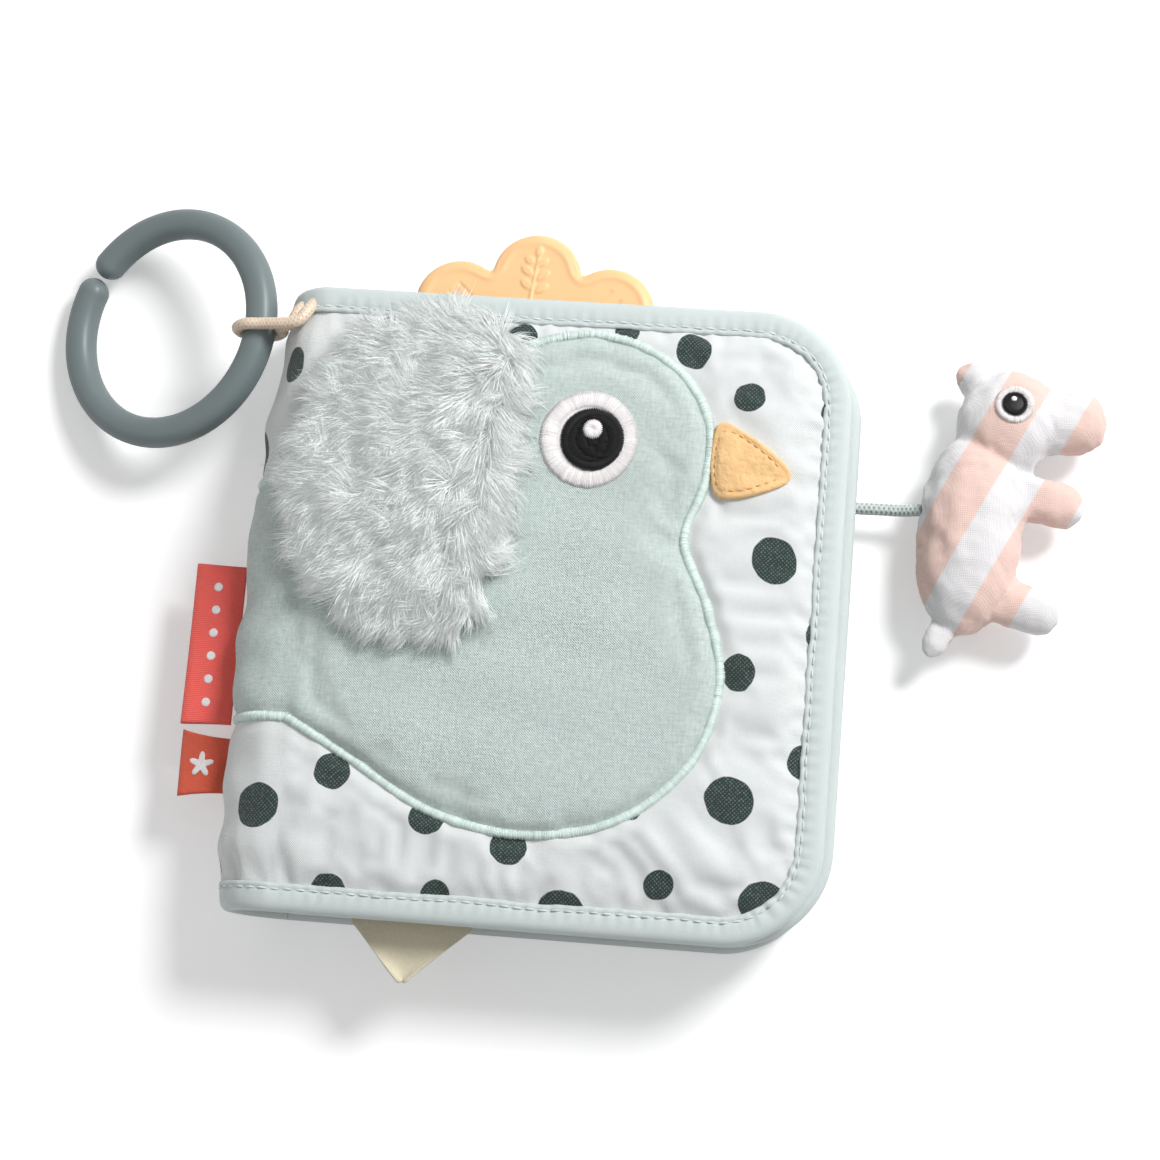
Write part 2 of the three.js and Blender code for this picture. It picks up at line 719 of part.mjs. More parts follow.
// Tags: ribbons folded over and sewn to the spine's centre line
function foldedTag(name, topY, length, under, finish) {
  const ends = [topY, topY - length].map((y) => archPoint(y / halfPage, under, Math.PI / 2).x);
  const rootX = Math.min(...ends);
  const half = tagPly + tagFold / 2;
  const tip = rootX - tagReach;
  const outline = [
    [rootX, -half],
    [tip + half, -half],
    [tip, -half / 2],
    [tip, half / 2],
    [tip + half, half],
    [rootX, half],
    [rootX, tagFold / 2],
    [tip + tagPly + tagFold, tagFold / 2],
    [tip + tagPly + tagFold, -tagFold / 2],
    [rootX, -tagFold / 2],
  ].map(([x, z]) => new THREE.Vector2(x, archHalf + z));
  add(name, alongPage(new THREE.Shape(outline), topY - length, topY), finish);
}
const tagTop = halfPage * tagTopShare;
foldedTag("ribbon_tag", tagTop, tagLength, 2 * clearance + feltThick, "coral");
foldedTag("woven_tag", tagTop - tagLength - tagGap, smallTagLength, clearance, "rust");

// Teether: a scalloped plate with a slot at its foot, held by a strap
const teetherPlace = onCover(teetherShares);
const teetherBottom = leafATop + clearance;
function scallops(inset) {
  const points = [];
  const perLobe = 6;
  for (let i = 0; i < lobeCount * perLobe; i += 1) {
    const turn = (2 * Math.PI * i) / (lobeCount * perLobe);
    const lobeTurn = (2 * Math.PI) / lobeCount;
    const off = turn - lobeTurn * Math.round(turn / lobeTurn);
    const side = lobeRing * Math.sin(off);
    const bulge = Math.sqrt(lobeRadius * lobeRadius - side * side);
    const reach = lobeRing * Math.cos(off) + bulge - inset;
    points.push(new THREE.Vector2(-reach * Math.sin(turn), reach * Math.cos(turn)));
  }
  return points;
}
const edgeRound = teetherEdge * edgeRoundShare;
const teetherRings = [
  [teetherEdge, 0],
  [edgeRound, edgeRound],
  [0, teetherEdge],
  [0, teetherThick - teetherEdge],
  [edgeRound, teetherThick - edgeRound],
  [teetherEdge, teetherThick],
].map(([inset, z]) =>
  scallops(inset).map((p) => vec(teetherPlace.x + p.x, teetherPlace.y + p.y, teetherBottom + z)),
);
const swingRoom = (strapWidth / 2) * Math.sin(teetherSwing) + clearance;
const teetherFoot = teetherPlace.y - lobeRing - lobeRadius;
const barFoot = teetherFoot + teetherEdge;
const barHead = barFoot + barWidth;
const slotHead = barHead + strapThick + 2 * swingRoom;
const slotHalf = strapWidth / 2 + swingRoom;
const teetherMidZ = teetherBottom + teetherThick / 2;

function box(x0, x1, y0, y1, z0, z1) {
  const geometry = new THREE.BoxGeometry(x1 - x0, y1 - y0, z1 - z0);
  geometry.translate((x0 + x1) / 2, (y0 + y1) / 2, (z0 + z1) / 2);
  return geometry;
}
const slotLeft = teetherPlace.x - slotHalf;
const slotRight = teetherPlace.x + slotHalf;
const cutLow = teetherBottom - teetherThick;
const cutHigh = teetherBottom + 2 * teetherThick;
const cutFoot = teetherFoot - teetherThick;
const barHalf = barThick / 2;
const slot = box(slotLeft, slotRight, barHead, slotHead, cutLow, cutHigh);
const overBar = box(slotLeft, slotRight, cutFoot, barHead + clearance, teetherMidZ + barHalf, cutHigh);
const underBar = box(slotLeft, slotRight, cutFoot, barHead + clearance, cutLow, teetherMidZ - barHalf);
const scallopedPlate = loft(teetherRings, flat(teetherRings[0]));
add("teether", cut(scallopedPlate, slot, overBar, underBar), "apricot");

const strapHead = barHead + swingRoom + strapThick;
const strapFoot = teetherFoot - swingRoom - strapThick;
const strapLow = teetherBottom;
const strapHigh = teetherMidZ + barHalf + clearance + strapThick;
const strapProfile = new THREE.Shape([
  [strapFoot - strapTail, strapLow],
  [strapHead, strapLow],
  [strapHead, strapHigh],
  [strapFoot, strapHigh],
  [strapFoot, strapLow + 2 * strapThick],
  [strapFoot - strapTail, strapLow + 2 * strapThick],
].map(([y, z]) => new THREE.Vector2(y, z)));
strapProfile.holes.push(new THREE.Path([
  [strapFoot + strapThick, strapLow + strapThick],
  [strapFoot + strapThick, strapHigh - strapThick],
  [strapHead - strapThick, strapHigh - strapThick],
  [strapHead - strapThick, strapLow + strapThick],
].map(([y, z]) => new THREE.Vector2(y, z))));
const strap = new THREE.ExtrudeGeometry(strapProfile, { depth: strapWidth, bevelEnabled: false, steps: 1 });
strap.rotateX(Math.PI / 2);
strap.rotateZ(Math.PI / 2);
strap.translate(teetherPlace.x - strapWidth / 2, 0, 0);
add("teether_strap", strap, "satin");

// Pointed flap at the foot of the upper leaf
const pointPlace = foldX + coverReach * pointPlaceShare;
const pointFoot = -halfPage - pointDrop;
const pointOutline = [
  [-0.5, pointRoot],
  [-0.5, 0],
  [-pointTipShare, -pointDrop],
  [pointTipShare, -pointDrop],
  [0.5, 0],
  [0.5, pointRoot],
].map(([share, y]) => new THREE.Vector2(pointPlace + share * pointWidth, pointFoot + pointDrop + y));
add("pointed_flap", plate(pointOutline, leafATop + clearance, cloth), "cream");

// Pendant toy: stuffed rounds lying on one side, the back towards the book
const edgeX = foreX + leafOverhang;
const toyPlace = vec(edgeX + toyStandoff, halfPage * toyPlaceShare, toyLift + toyHeadRadius * toyFlat);
const toyBodyX = toyBodyRadius + clearance;
const onToy = ([sx, sy]) =>
  vec(toyPlace.x + toyBodyX + sx * toyLength, toyPlace.y + sy * toyLength, toyPlace.z);
const plumpShares = [
  [0, 0],
  [0.03, 0.42],
  [0.12, 0.78],
  [0.3, 0.99],
  [0.5, 1],
  [0.7, 0.95],
  [0.88, 0.72],
  [0.97, 0.38],
  [1, 0],
];
const limbShares = [
  [0, 0],
  [0.02, 0.7],
  [0.2, 1],
  [0.55, 0.92],
  [0.8, 0.98],
  [0.93, 0.72],
  [0.98, 0.42],
  [1, 0],
];

// A stuffed round between two places, turned about its own line and flattened where it lies
function stuffed(shares, from, to, radius, grow, sides) {
  const along = to.clone().sub(from);
  const length = along.length() + 2 * grow;
  const outline = shares.map(([t, r]) => new THREE.Vector2(r * (radius + grow), t * length - grow));
  const geometry = new THREE.LatheGeometry(outline, sides);
  geometry.scale(1, 1, toyFlat);
  geometry.rotateZ(Math.atan2(along.y, along.x) - Math.PI / 2);
  geometry.translate(from.x, from.y, from.z);
  return geometry;
}
const toyRounds = {
  body: { shape: plumpShares, radius: toyBodyRadius, sides: 16, endShares: [[-0.02, -0.44], [0.02, 0.29]] },
  head: { shape: plumpShares, radius: toyHeadRadius, sides: 16, endShares: [[0.03, 0.17], [0.2, 0.5]] },
  muzzle: { shape: plumpShares, radius: toyMuzzleRadius, sides: 12, endShares: [[0.2, 0.33], [0.46, 0.37]] },
  frontLeg: { shape: limbShares, radius: toyLegRadius, sides: 12, endShares: [[0.02, 0.1], [0.4, 0.03]] },
  hindLeg: { shape: limbShares, radius: toyLegRadius, sides: 12, endShares: [[0, -0.28], [0.33, -0.36]] },
  ear: { shape: plumpShares, radius: toyEarRadius, sides: 10, endShares: [[0.14, 0.42], [-0.08, 0.52]] },
  tail: { shape: plumpShares, radius: toyTailRadius, sides: 10, endShares: [[-0.03, -0.36], [-0.13, -0.52]] },
};
const toyEyeShares = [0.125, 0.37];
const round = (key, grow = 0) => {
  const { shape, endShares, radius, sides } = toyRounds[key];
  const [from, to] = endShares.map(onToy);
  return stuffed(shape, from, to, radius, grow, sides);
};
add("toy_body", round("body"), "blush");
add("toy_head", cut(round("head"), round("body", clearance)), "white");
add("toy_muzzle", cut(round("muzzle"), round("head", clearance), round("body", clearance)), "blush");
add("toy_front_leg", cut(round("frontLeg"), round("body", clearance), round("head", clearance)), "white");
add("toy_hind_leg", cut(round("hindLeg"), round("body", clearance)), "blush");
add("toy_ear", cut(round("ear"), round("head", clearance)), "white");
add("toy_tail", cut(round("tail"), round("body", clearance)), "white");
const toyEyePlace = onToy(toyEyeShares);
const toyEye = new THREE.CylinderGeometry(toyEyeRadius, toyEyeRadius, threadThick, 16);
toyEye.rotateX(Math.PI / 2);
const toyEyeZ = toyPlace.z + toyHeadRadius * toyFlat + clearance + threadThick / 2;
toyEye.translate(toyEyePlace.x, toyEyePlace.y, toyEyeZ);
add("toy_eye", toyEye, "charcoal");

// Toy cord: from its sewn tab between the back cover and the lower leaf to the toy's back
const cordZ = backThick - backDrop + clearance + toyCordDiameter / 2;
const cordRoot = vec(cordRootX, toyPlace.y, cordZ);
const cordEdge = vec(edgeX, toyPlace.y, cordZ);
const insideShares = [0, 0.35, 0.65, 0.95]; // from the tab to the pages' edge
const outsideShares = [0.35, 0.68, 1]; // from the pages' edge to the toy
const cordLine = [
  ...insideShares.map((share) => cordRoot.clone().lerp(cordEdge, share)),
  ...outsideShares.map((share) => cordEdge.clone().lerp(toyPlace, share)),
];
const sagShare = 0.4;
cordLine.at(-2).z -= (toyPlace.z - cordZ) * sagShare;
cordLine.at(-3).z -= (toyPlace.z - cordZ) * sagShare / 2;
add("toy_cord", tube(cordLine, toyCordDiameter / 2, 8, 10), "grey");

const tabOutline = [
  [-tabLength, -tabWidth / 2],
  [0, -tabWidth / 2],
  [0, tabWidth / 2],
  [-tabLength, tabWidth / 2],
].map(([x, y]) => new THREE.Vector2(cordRootX - 2 * clearance + x, toyPlace.y + y));
add("toy_cord_tab", plate(tabOutline, backThick - tabBehind + clearance, tabThick), "satin");

export default book;
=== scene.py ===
import json
import math
import random
import bpy
import bmesh
import numpy as np
from mathutils import Matrix, Vector

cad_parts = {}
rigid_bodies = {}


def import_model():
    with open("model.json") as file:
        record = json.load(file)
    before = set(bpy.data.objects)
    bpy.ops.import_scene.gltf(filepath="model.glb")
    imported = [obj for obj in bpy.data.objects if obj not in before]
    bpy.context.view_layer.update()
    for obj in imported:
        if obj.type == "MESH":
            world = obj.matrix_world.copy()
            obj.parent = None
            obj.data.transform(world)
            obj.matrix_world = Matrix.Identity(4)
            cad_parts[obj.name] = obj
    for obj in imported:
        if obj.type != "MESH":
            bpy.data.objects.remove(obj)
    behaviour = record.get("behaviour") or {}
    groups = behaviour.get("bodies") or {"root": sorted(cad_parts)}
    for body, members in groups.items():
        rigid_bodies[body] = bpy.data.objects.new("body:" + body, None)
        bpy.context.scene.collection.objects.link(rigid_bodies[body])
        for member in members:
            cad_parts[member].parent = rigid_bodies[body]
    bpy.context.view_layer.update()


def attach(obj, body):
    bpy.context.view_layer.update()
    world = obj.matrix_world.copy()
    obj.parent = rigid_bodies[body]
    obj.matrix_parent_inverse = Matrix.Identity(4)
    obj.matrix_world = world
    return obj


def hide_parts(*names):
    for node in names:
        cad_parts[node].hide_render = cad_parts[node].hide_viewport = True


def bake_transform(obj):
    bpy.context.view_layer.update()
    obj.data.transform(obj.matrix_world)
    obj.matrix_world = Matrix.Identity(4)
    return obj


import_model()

mm = 0.001  # all sizes below are in millimetres until a mesh is written
wholeTurn = 2 * math.pi
straightUp = np.array([0, 0, 1.0])


# small helpers

def sRgb(*parts):
    linear = ((c / 255 / 12.92) if c <= 10 else ((c / 255 + 0.055) / 1.055) ** 2.4 for c in parts)
    return (*linear, 1.0)


def smooth01(t):
    t = np.clip(t, 0, 1)
    return t * t * (3 - 2 * t)


def domed(share, power):  # height of a rounded patch: 1 at its middle (share 0), 0 at its edge (share 1)
    return np.sqrt(np.clip(1 - share ** power, 0, 1))


def bellAt(values, middle, width):
    return np.exp(-((values - middle) / width) ** 2)


def turnsRound(count):
    return np.linspace(0, wholeTurn, count, endpoint=False)


def waves(x, y, size, seed, count=7):  # soft noise from crossing sine waves, about -1 to 1
    rng = random.Random(seed)
    total = np.zeros_like(np.asarray(x, float))
    for i in range(count):
        turn = rng.uniform(0, wholeTurn)
        length = size * rng.uniform(0.6, 1.7)
        total += np.sin(wholeTurn * (x * math.cos(turn) + y * math.sin(turn)) / length + rng.uniform(0, 6.28))
    return total / math.sqrt(count)


def softened(values, half, mode="edge"):  # a row of values with its corners rounded off
    kernel = np.hanning(2 * half + 1)
    return np.convolve(np.pad(values, half, mode=mode), kernel / kernel.sum(), mode="valid")


def runOf(line):  # the length along a line at each of its points
    return np.concatenate([[0], np.cumsum(np.linalg.norm(np.diff(line, axis=0), axis=1))])


def evenLine(line, count):
    reach = runOf(line)
    at = np.linspace(0, reach[-1], count + 1)
    return np.stack([np.interp(at, reach, line[:, k]) for k in range(line.shape[1])], 1), at


def smoothLine(points, count, closed=False):  # even points on a centripetal Catmull-Rom line
    def between(i, j, p, q, t):
        return (ts[j] - t) / (ts[j] - ts[i]) * p + (t - ts[i]) / (ts[j] - ts[i]) * q
    pts = [np.array(p, float) for p in points]
    if closed:
        pts = [pts[-1]] + pts + pts[:2]
    else:
        pts = [2 * pts[0] - pts[1]] + pts + [2 * pts[-1] - pts[-2]]
    line = []
    for a, b, c, d in zip(pts, pts[1:], pts[2:], pts[3:]):
        ts = [0.0]
        for p, q in ((a, b), (b, c), (c, d)):
            ts.append(ts[-1] + max(np.linalg.norm(q - p), 1e-6) ** 0.5)
        for t in np.linspace(ts[1], ts[2], 24, endpoint=False):
            first, mid, last = between(0, 1, a, b, t), between(1, 2, b, c, t), between(2, 3, c, d, t)
            line.append(between(1, 2, between(0, 2, first, mid, t), between(1, 3, mid, last, t), t))
    line.append(pts[-2])
    even = evenLine(np.array(line), count)[0]
    return even[:-1] if closed else even


def insideOf(outline, x, y):  # distance to a closed outline, positive inside
    x, y = np.asarray(x, float), np.asarray(y, float)
    a = np.asarray(outline)[:, :2]
    b = np.roll(a, -1, axis=0)
    best = np.full(x.shape, 1e9)
    crossings = np.zeros(x.shape, int)
    for (ax, ay), (bx, by) in zip(a, b):
        dx, dy = bx - ax, by - ay
        t = np.clip(((x - ax) * dx + (y - ay) * dy) / max(dx * dx + dy * dy, 1e-9), 0, 1)
        best = np.minimum(best, np.hypot(x - ax - t * dx, y - ay - t * dy))
        hit = (ay > y) != (by > y)
        crossings += hit & (x < (bx - ax) * (y - ay) / (by - ay if by != ay else 1e-9) + ax)
    return np.where(crossings % 2 == 1, best, -best)


# meshes

def toMesh(name, points, faces, edges=()):
    mesh = bpy.data.meshes.new(name)
    corners = [tuple(float(c) * mm for c in p) for p in points]
    mesh.from_pydata(corners, list(edges), [tuple(int(i) for i in f) for f in faces])
    mesh.update()
    return mesh


def roundFaces(mesh):
    mesh.polygons.foreach_set("use_smooth", [True] * len(mesh.polygons))


def paintWith(mesh, material):
    mesh.materials.clear()
    mesh.materials.append(material)


def addPiece(name, mesh, material=None, smooth=True):
    piece = bpy.data.objects.new(name, mesh)
    bpy.context.scene.collection.objects.link(piece)
    if material:
        paintWith(mesh, material)
    if smooth:
        roundFaces(mesh)
    return piece


def store(mesh, key, values):  # one number or one vector for each point
    values = np.asarray(values, np.float32)
    kind, part = ("FLOAT_VECTOR", "vector") if values.ndim > 1 else ("FLOAT", "value")
    mesh.attributes.new(key, kind, "POINT").data.foreach_set(part, values.ravel())


def placesOf(piece):
    co = np.zeros(len(piece.data.vertices) * 3)
    piece.data.vertices.foreach_get("co", co)
    return co.reshape(-1, 3) / mm


def normalsOf(piece):
    no = np.zeros(len(piece.data.vertices) * 3)
    piece.data.vertex_normals.foreach_get("vector", no)
    return no.reshape(-1, 3)


def setPlaces(piece, co):
    piece.data.vertices.foreach_set("co", (co * mm).ravel())
    piece.data.update()


def asMesh(piece):  # what its live modifiers make, as a mesh of its own
    bpy.context.view_layer.update()
    graph = bpy.context.evaluated_depsgraph_get()
    found = piece.evaluated_get(graph)
    return bpy.data.meshes.new_from_object(found, preserve_all_data_layers=True, depsgraph=graph)


def modified(piece, kind, **settings):  # one modifier, made plain at once
    modifier = piece.modifiers.new(kind.lower(), kind)
    for key, value in settings.items():
        setattr(modifier, key, value)
    mesh = asMesh(piece)
    piece.modifiers.clear()
    piece.data = mesh
    roundFaces(mesh)
    return piece


def thickened(piece, thickness):  # a ply, grown away from the sheet's normals
    return modified(piece, "SOLIDIFY", thickness=thickness * mm, offset=-1)


def liftTo(piece, low):  # nothing of a piece stays below a height
    co = placesOf(piece)
    co[:, 2] = np.maximum(co[:, 2], low)
    setPlaces(piece, co)
    return piece


def outward(piece):
    bm = bmesh.new()
    bm.from_mesh(piece.data)
    bmesh.ops.remove_doubles(bm, verts=bm.verts, dist=1e-6)
    bmesh.ops.recalc_face_normals(bm, faces=bm.faces)
    bm.to_mesh(piece.data)
    bm.free()
    piece.data.update()
    return piece


def cellsOf(keep):  # the cells of a grid that are kept, and the points that they use
    cells = keep[:-1, :-1] & keep[1:, :-1] & keep[:-1, 1:] & keep[1:, 1:]
    used = np.zeros(keep.shape, bool)
    for a, b in ((0, 0), (1, 0), (0, 1), (1, 1)):
        used[a:used.shape[0] - 1 + a, b:used.shape[1] - 1 + b] |= cells
    return cells, used


def gridPiece(name, grid, keep=None, thickness=0.0, material=None, attribute=None, cloth=None):
    # a sheet over a grid of points [i, j, xyz]; cloth is a place along it for its weave and print
    rows, cols = grid.shape[:2]
    cells, used = cellsOf(np.ones((rows, cols), bool) if keep is None else keep)
    number = np.cumsum(used.ravel()).reshape(rows, cols) - 1
    quads = []
    for i, j in np.argwhere(cells):
        quads.append((number[i, j], number[i, j + 1], number[i + 1, j + 1], number[i + 1, j]))
    piece = addPiece(name, toMesh(name, grid.reshape(-1, 3)[used.ravel()], quads), material)
    for key, values in (attribute or {}).items():
        store(piece.data, key, values.reshape(-1, 3)[used.ravel()])
    if cloth is not None:
        layer = piece.data.uv_layers.new(name="cloth")
        flat = np.stack([np.broadcast_to(c, (rows, cols)).ravel()[used.ravel()] for c in cloth], 1)
        loops = np.zeros(len(piece.data.loops), int)
        piece.data.loops.foreach_get("vertex_index", loops)
        layer.data.foreach_set("uv", flat[loops].astype(np.float32).ravel())
    return thickened(piece, thickness) if thickness else piece


def ringFaces(rings, around, closed=False):  # quads between rings of points
    faces = []
    for i in range(rings if closed else rings - 1):
        low, high = i * around, (i + 1) % rings * around
        for j in range(around):
            after = (j + 1) % around
            faces.append((low + j, low + after, high + after, high + j))
    return faces


def tipFaces(first, around, tip):  # triangles from a ring to one point
    return [(first + j, first + (j + 1) % around, tip) for j in range(around)]


def sweepPiece(name, rings, closed=False, material=None, tone=None):  # rings of equal count, [i, k, xyz]
    rings = np.asarray(rings)
    n, k = rings.shape[:2]
    faces = ringFaces(n, k, closed)
    if not closed:
        faces.append(list(range(k))[::-1])
        faces.append([(n - 1) * k + j for j in range(k)])
    piece = addPiece(name, toMesh(name, rings.reshape(-1, 3), faces), material)
    if tone is not None:  # painted shade: lighter on the strands, darker between them
        store(piece.data, "tone", tone.ravel())
    return outward(piece)


def withClothUv(piece):  # a place on the cloth, taken from each face's own flattest plane
    layer = piece.data.uv_layers.new(name="cloth")
    for face in piece.data.polygons:
        n = face.normal
        a, b = (0, 1) if abs(n.z) >= max(abs(n.x), abs(n.y)) else ((1, 2) if abs(n.x) > abs(n.y) else (0, 2))
        for loop in face.loop_indices:
            co = piece.data.vertices[piece.data.loops[loop].vertex_index].co
            layer.data[loop].uv = (co[a] * 1000.0, co[b] * 1000.0)
    return piece


def fanPiece(name, outline, centre, place, rings, thickness=0.0, material=None, extra=None):
    # a patch with rings drawn in from its outline; place(u, y, share) gives a point, share 1 at the edge
    outline = np.asarray(outline, float)[:, :2]
    area = np.sum(outline[:, 0] * np.roll(outline[:, 1], -1) - np.roll(outline[:, 0], -1) * outline[:, 1])
    if area < 0:
        outline = outline[::-1]
    shares = 1 - (np.arange(rings) / rings) ** 1.35
    u = centre[0] + (outline[None, :, 0] - centre[0]) * shares[:, None]
    y = centre[1] + (outline[None, :, 1] - centre[1]) * shares[:, None]
    points = place(u, y, np.broadcast_to(shares[:, None], u.shape)).reshape(-1, 3)
    middle = place(np.array([[centre[0]]]), np.array([[centre[1]]]), np.zeros((1, 1))).reshape(1, 3)
    points = np.vstack([points, middle])
    n = len(outline)
    faces = ringFaces(rings, n) + tipFaces((rings - 1) * n, n, rings * n)
    piece = addPiece(name, toMesh(name, points, faces), material)
    for key, vectors in (extra or {}).items():
        store(piece.data, key, vectors(points))
    if thickness:
        thickened(piece, thickness)
    return withClothUv(piece)


def joined(name, parts, material):
    target = parts[0]
    bm = bmesh.new()
    for part in parts:
        bm.from_mesh(part.data)
    for part in parts[1:]:
        bpy.data.objects.remove(part)
    bm.to_mesh(target.data)
    bm.free()
    target.name = target.data.name = name
    paintWith(target.data, material)
    roundFaces(target.data)
    return target


def circle(centre, radius, count=120):
    a = turnsRound(count)
    return np.stack([centre[0] + radius * np.cos(a), centre[1] + radius * np.sin(a)], 1)


# what each piece rides on and stands for

def label(piece, slot, *nodes):
    if nodes:
        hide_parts(*nodes)
    return piece


def rideOn(piece, body, slot, *nodes):
    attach(piece, body)
    return label(piece, slot, *nodes)


def bendOn(piece, slot, *nodes):  # for pieces from the back cover round the spine to the front cover past the fold: their place is made plain, and the imported nodes they stand for are hidden
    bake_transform(piece)
    return label(piece, slot, *nodes)


# the book's own sizes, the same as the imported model's

book = {
    "fold": -62.004, "fore": 72.496, "half": 80.0, "corner": 25.0, "reach": 134.5,
    "frontMid": 30.965, "frontTop": 35.125, "frontLow": 27.125,
    "backMid": 2.4, "backTop": 7.0, "leafAMid": 18.925, "leafBMid": 12.425, "leafHalf": 3.0,
    "rim": 1.05, "tapeWidth": 7.0, "clear": 0.3, "crown": 13.0, "liningCrown": 34.0, "bulge": 16.0,
}
pages = {
    "front": {"root": book["fold"], "fore": book["fore"], "half": 80.0, "mid": book["frontMid"]},
    "leafA": {"root": book["fold"] + 1.6, "fore": book["fore"] + 2.5, "half": 79.0, "mid": book["leafAMid"]},
    "leafB": {"root": book["fold"] + 1.6, "fore": book["fore"] + 1.25, "half": 79.0, "mid": book["leafBMid"]},
    "back": {"root": book["fold"], "fore": book["fore"], "half": 80.0, "mid": book["backMid"]},
}
arch = {
    "y": [-1, -0.92, -0.8, -0.5, 0, 0.45, 0.7, 0.82, 0.92, 1],
    "bulge": [0.84, 0.9, 1, 1, 1, 0.97, 0.86, 0.77, 0.7, 0.66],
    "pinch": [1, 1, 0.1, 0, 0, 0, 0, 0.1, 1, 1],
}
riseAt = {
    "soft": ([0, 0.1, 0.3, 0.6, 1], [0, 0.45, 0.75, 0.93, 1]),
    "flat": ([0, 0.3, 1], [0, 0.75, 1]),
}


def eased(share, values):  # the arch's station values at a share of the height, corners rounded off
    fine = np.linspace(-1.1, 1.1, 441)
    return np.interp(share, fine, softened(np.interp(fine, arch["y"], values), 12))


def archPoint(y, offset, turn):  # the spine's surface, from the front cover (0) round to the back (pi)
    share = np.asarray(y, float) / book["half"]
    depth = book["bulge"] * eased(share, arch["bulge"]) + offset
    pinch = eased(share, arch["pinch"])
    top = book["frontTop"] * (1 - pinch) + (book["frontMid"] + book["rim"]) * pinch
    low = (book["backMid"] - book["rim"]) * pinch
    x = book["fold"] - book["clear"] - depth * np.sin(turn)
    return np.stack(np.broadcast_arrays(x, y, (top + low) / 2 + ((top - low) / 2 + offset) * np.cos(turn)), -1)


def insetOf(page, x, y):  # how far a place lies inside a page's three free edges
    r = book["corner"]
    dx, dy = np.asarray(x, float) - (page["fore"] - r), np.abs(y) - (page["half"] - r)
    rounded = r - np.hypot(np.maximum(dx, 0), np.maximum(dy, 0))
    straight = np.minimum(page["fore"] - x, page["half"] - np.abs(y))
    return np.where((dx > 0) & (dy > 0), rounded, straight)


def alongEdge(page, x, y):  # a running length round those edges, for puckers
    r = book["corner"]
    cx, cy = page["fore"] - r, page["half"] - r
    dx, dy = np.asarray(x, float) - cx, np.abs(y) - cy
    turn = np.arctan2(np.maximum(dy, 1e-6), np.maximum(dx, 1e-6))
    side = np.where(dy > np.maximum(dx, 0), cy + r * math.pi / 2 + (cx - x), np.abs(y))
    return np.sign(y) * np.where((dx > 0) & (dy > 0), cy + r * turn, side)


def padHeight(page, x, y, half, crown, kind):  # height of a padded face over its page's middle
    inset = insetOf(page, x, y) - book["tapeWidth"] - book["clear"]
    shares = np.linspace(0, 1, 101)
    rise = softened(np.interp(shares, *riseAt[kind]), 8)
    return book["rim"] + (half - book["rim"]) * np.interp(inset / crown, shares, rise)


print("helpers ready")


# nodes of materials and repeats

def addNode(tree, kind, inputs=None, **props):  # a node with its settings, its numbers and its links
    made = tree.nodes.new(kind)
    for key, value in props.items():
        setattr(made, key, value)
    for key, value in (inputs or {}).items():
        if isinstance(value, bpy.types.NodeSocket):
            tree.links.new(value, made.inputs[key])
        else:
            made.inputs[key].default_value = value
    return made


def mathNode(tree, operation, a, b=0.0, c=0.0):
    return addNode(tree, "ShaderNodeMath", {0: a, 1: b, 2: c}, operation=operation).outputs[0]


def vectorNode(tree, operation, inputs):
    made = addNode(tree, "ShaderNodeVectorMath", inputs, operation=operation)
    return made.outputs["Value" if operation == "LENGTH" else 0]


def ranged(tree, value, low, high, toLow=0.0, toHigh=1.0):
    inputs = {"Value": value, "From Min": low, "From Max": high, "To Min": toLow, "To Max": toHigh}
    return addNode(tree, "ShaderNodeMapRange", inputs).outputs["Result"]


def mixColour(tree, factor, a, b, blend="MIX"):
    made = addNode(tree, "ShaderNodeMix", data_type="RGBA", blend_type=blend)
    for socket, value in ((made.inputs["Factor"], factor), (made.inputs[6], a), (made.inputs[7], b)):
        if isinstance(value, bpy.types.NodeSocket):
            tree.links.new(value, socket)
        else:
            socket.default_value = value
    return made.outputs[2]


# camera, floor and light

view = {
    "target": (7.5, 8.2, 30), "azimuth": 25, "elevation": 78, "rise": (-0.0825, 0.9966, 0),
    "lens": 85, "sensor": 36, "width": 290,
}
studio = {
    "world": 0.37,  # light of the room on the object
    "floor": sRgb(250, 250, 250), "floorHalf": 6000, "floorDrop": 0.2,
    "glow": (0.35, 2.2, 0.26, 0.62),  # two distances in metres, and the floor's own light at each
    "lamps": [
        ("keyLamp", (0.58, 0.55, 0.8), 0.4, 12.3),  # place, size in metres, watts
        ("fillLamp", (-0.7, -0.2, 0.8), 1.0, 0.8),
    ],
}


def makeCamera():
    data = bpy.data.cameras.new("photoCamera")
    camera = bpy.data.objects.new("photoCamera", data)
    bpy.context.scene.collection.objects.link(camera)
    data.lens, data.sensor_width = view["lens"], view["sensor"]
    data.clip_start, data.clip_end = 0.01, 20
    a, e = math.radians(view["azimuth"]), math.radians(view["elevation"])
    back = Vector((math.sin(a) * math.cos(e), -math.cos(a) * math.cos(e), math.sin(e)))
    right = Vector(view["rise"]).cross(back).normalized()
    up = back.cross(right)
    distance = view["width"] * view["lens"] / view["sensor"]
    place = Vector(view["target"]) * mm + back * distance * mm
    camera.matrix_world = Matrix.Translation(place) @ Matrix((right, up, back)).transposed().to_4x4()
    bpy.context.scene.camera = camera


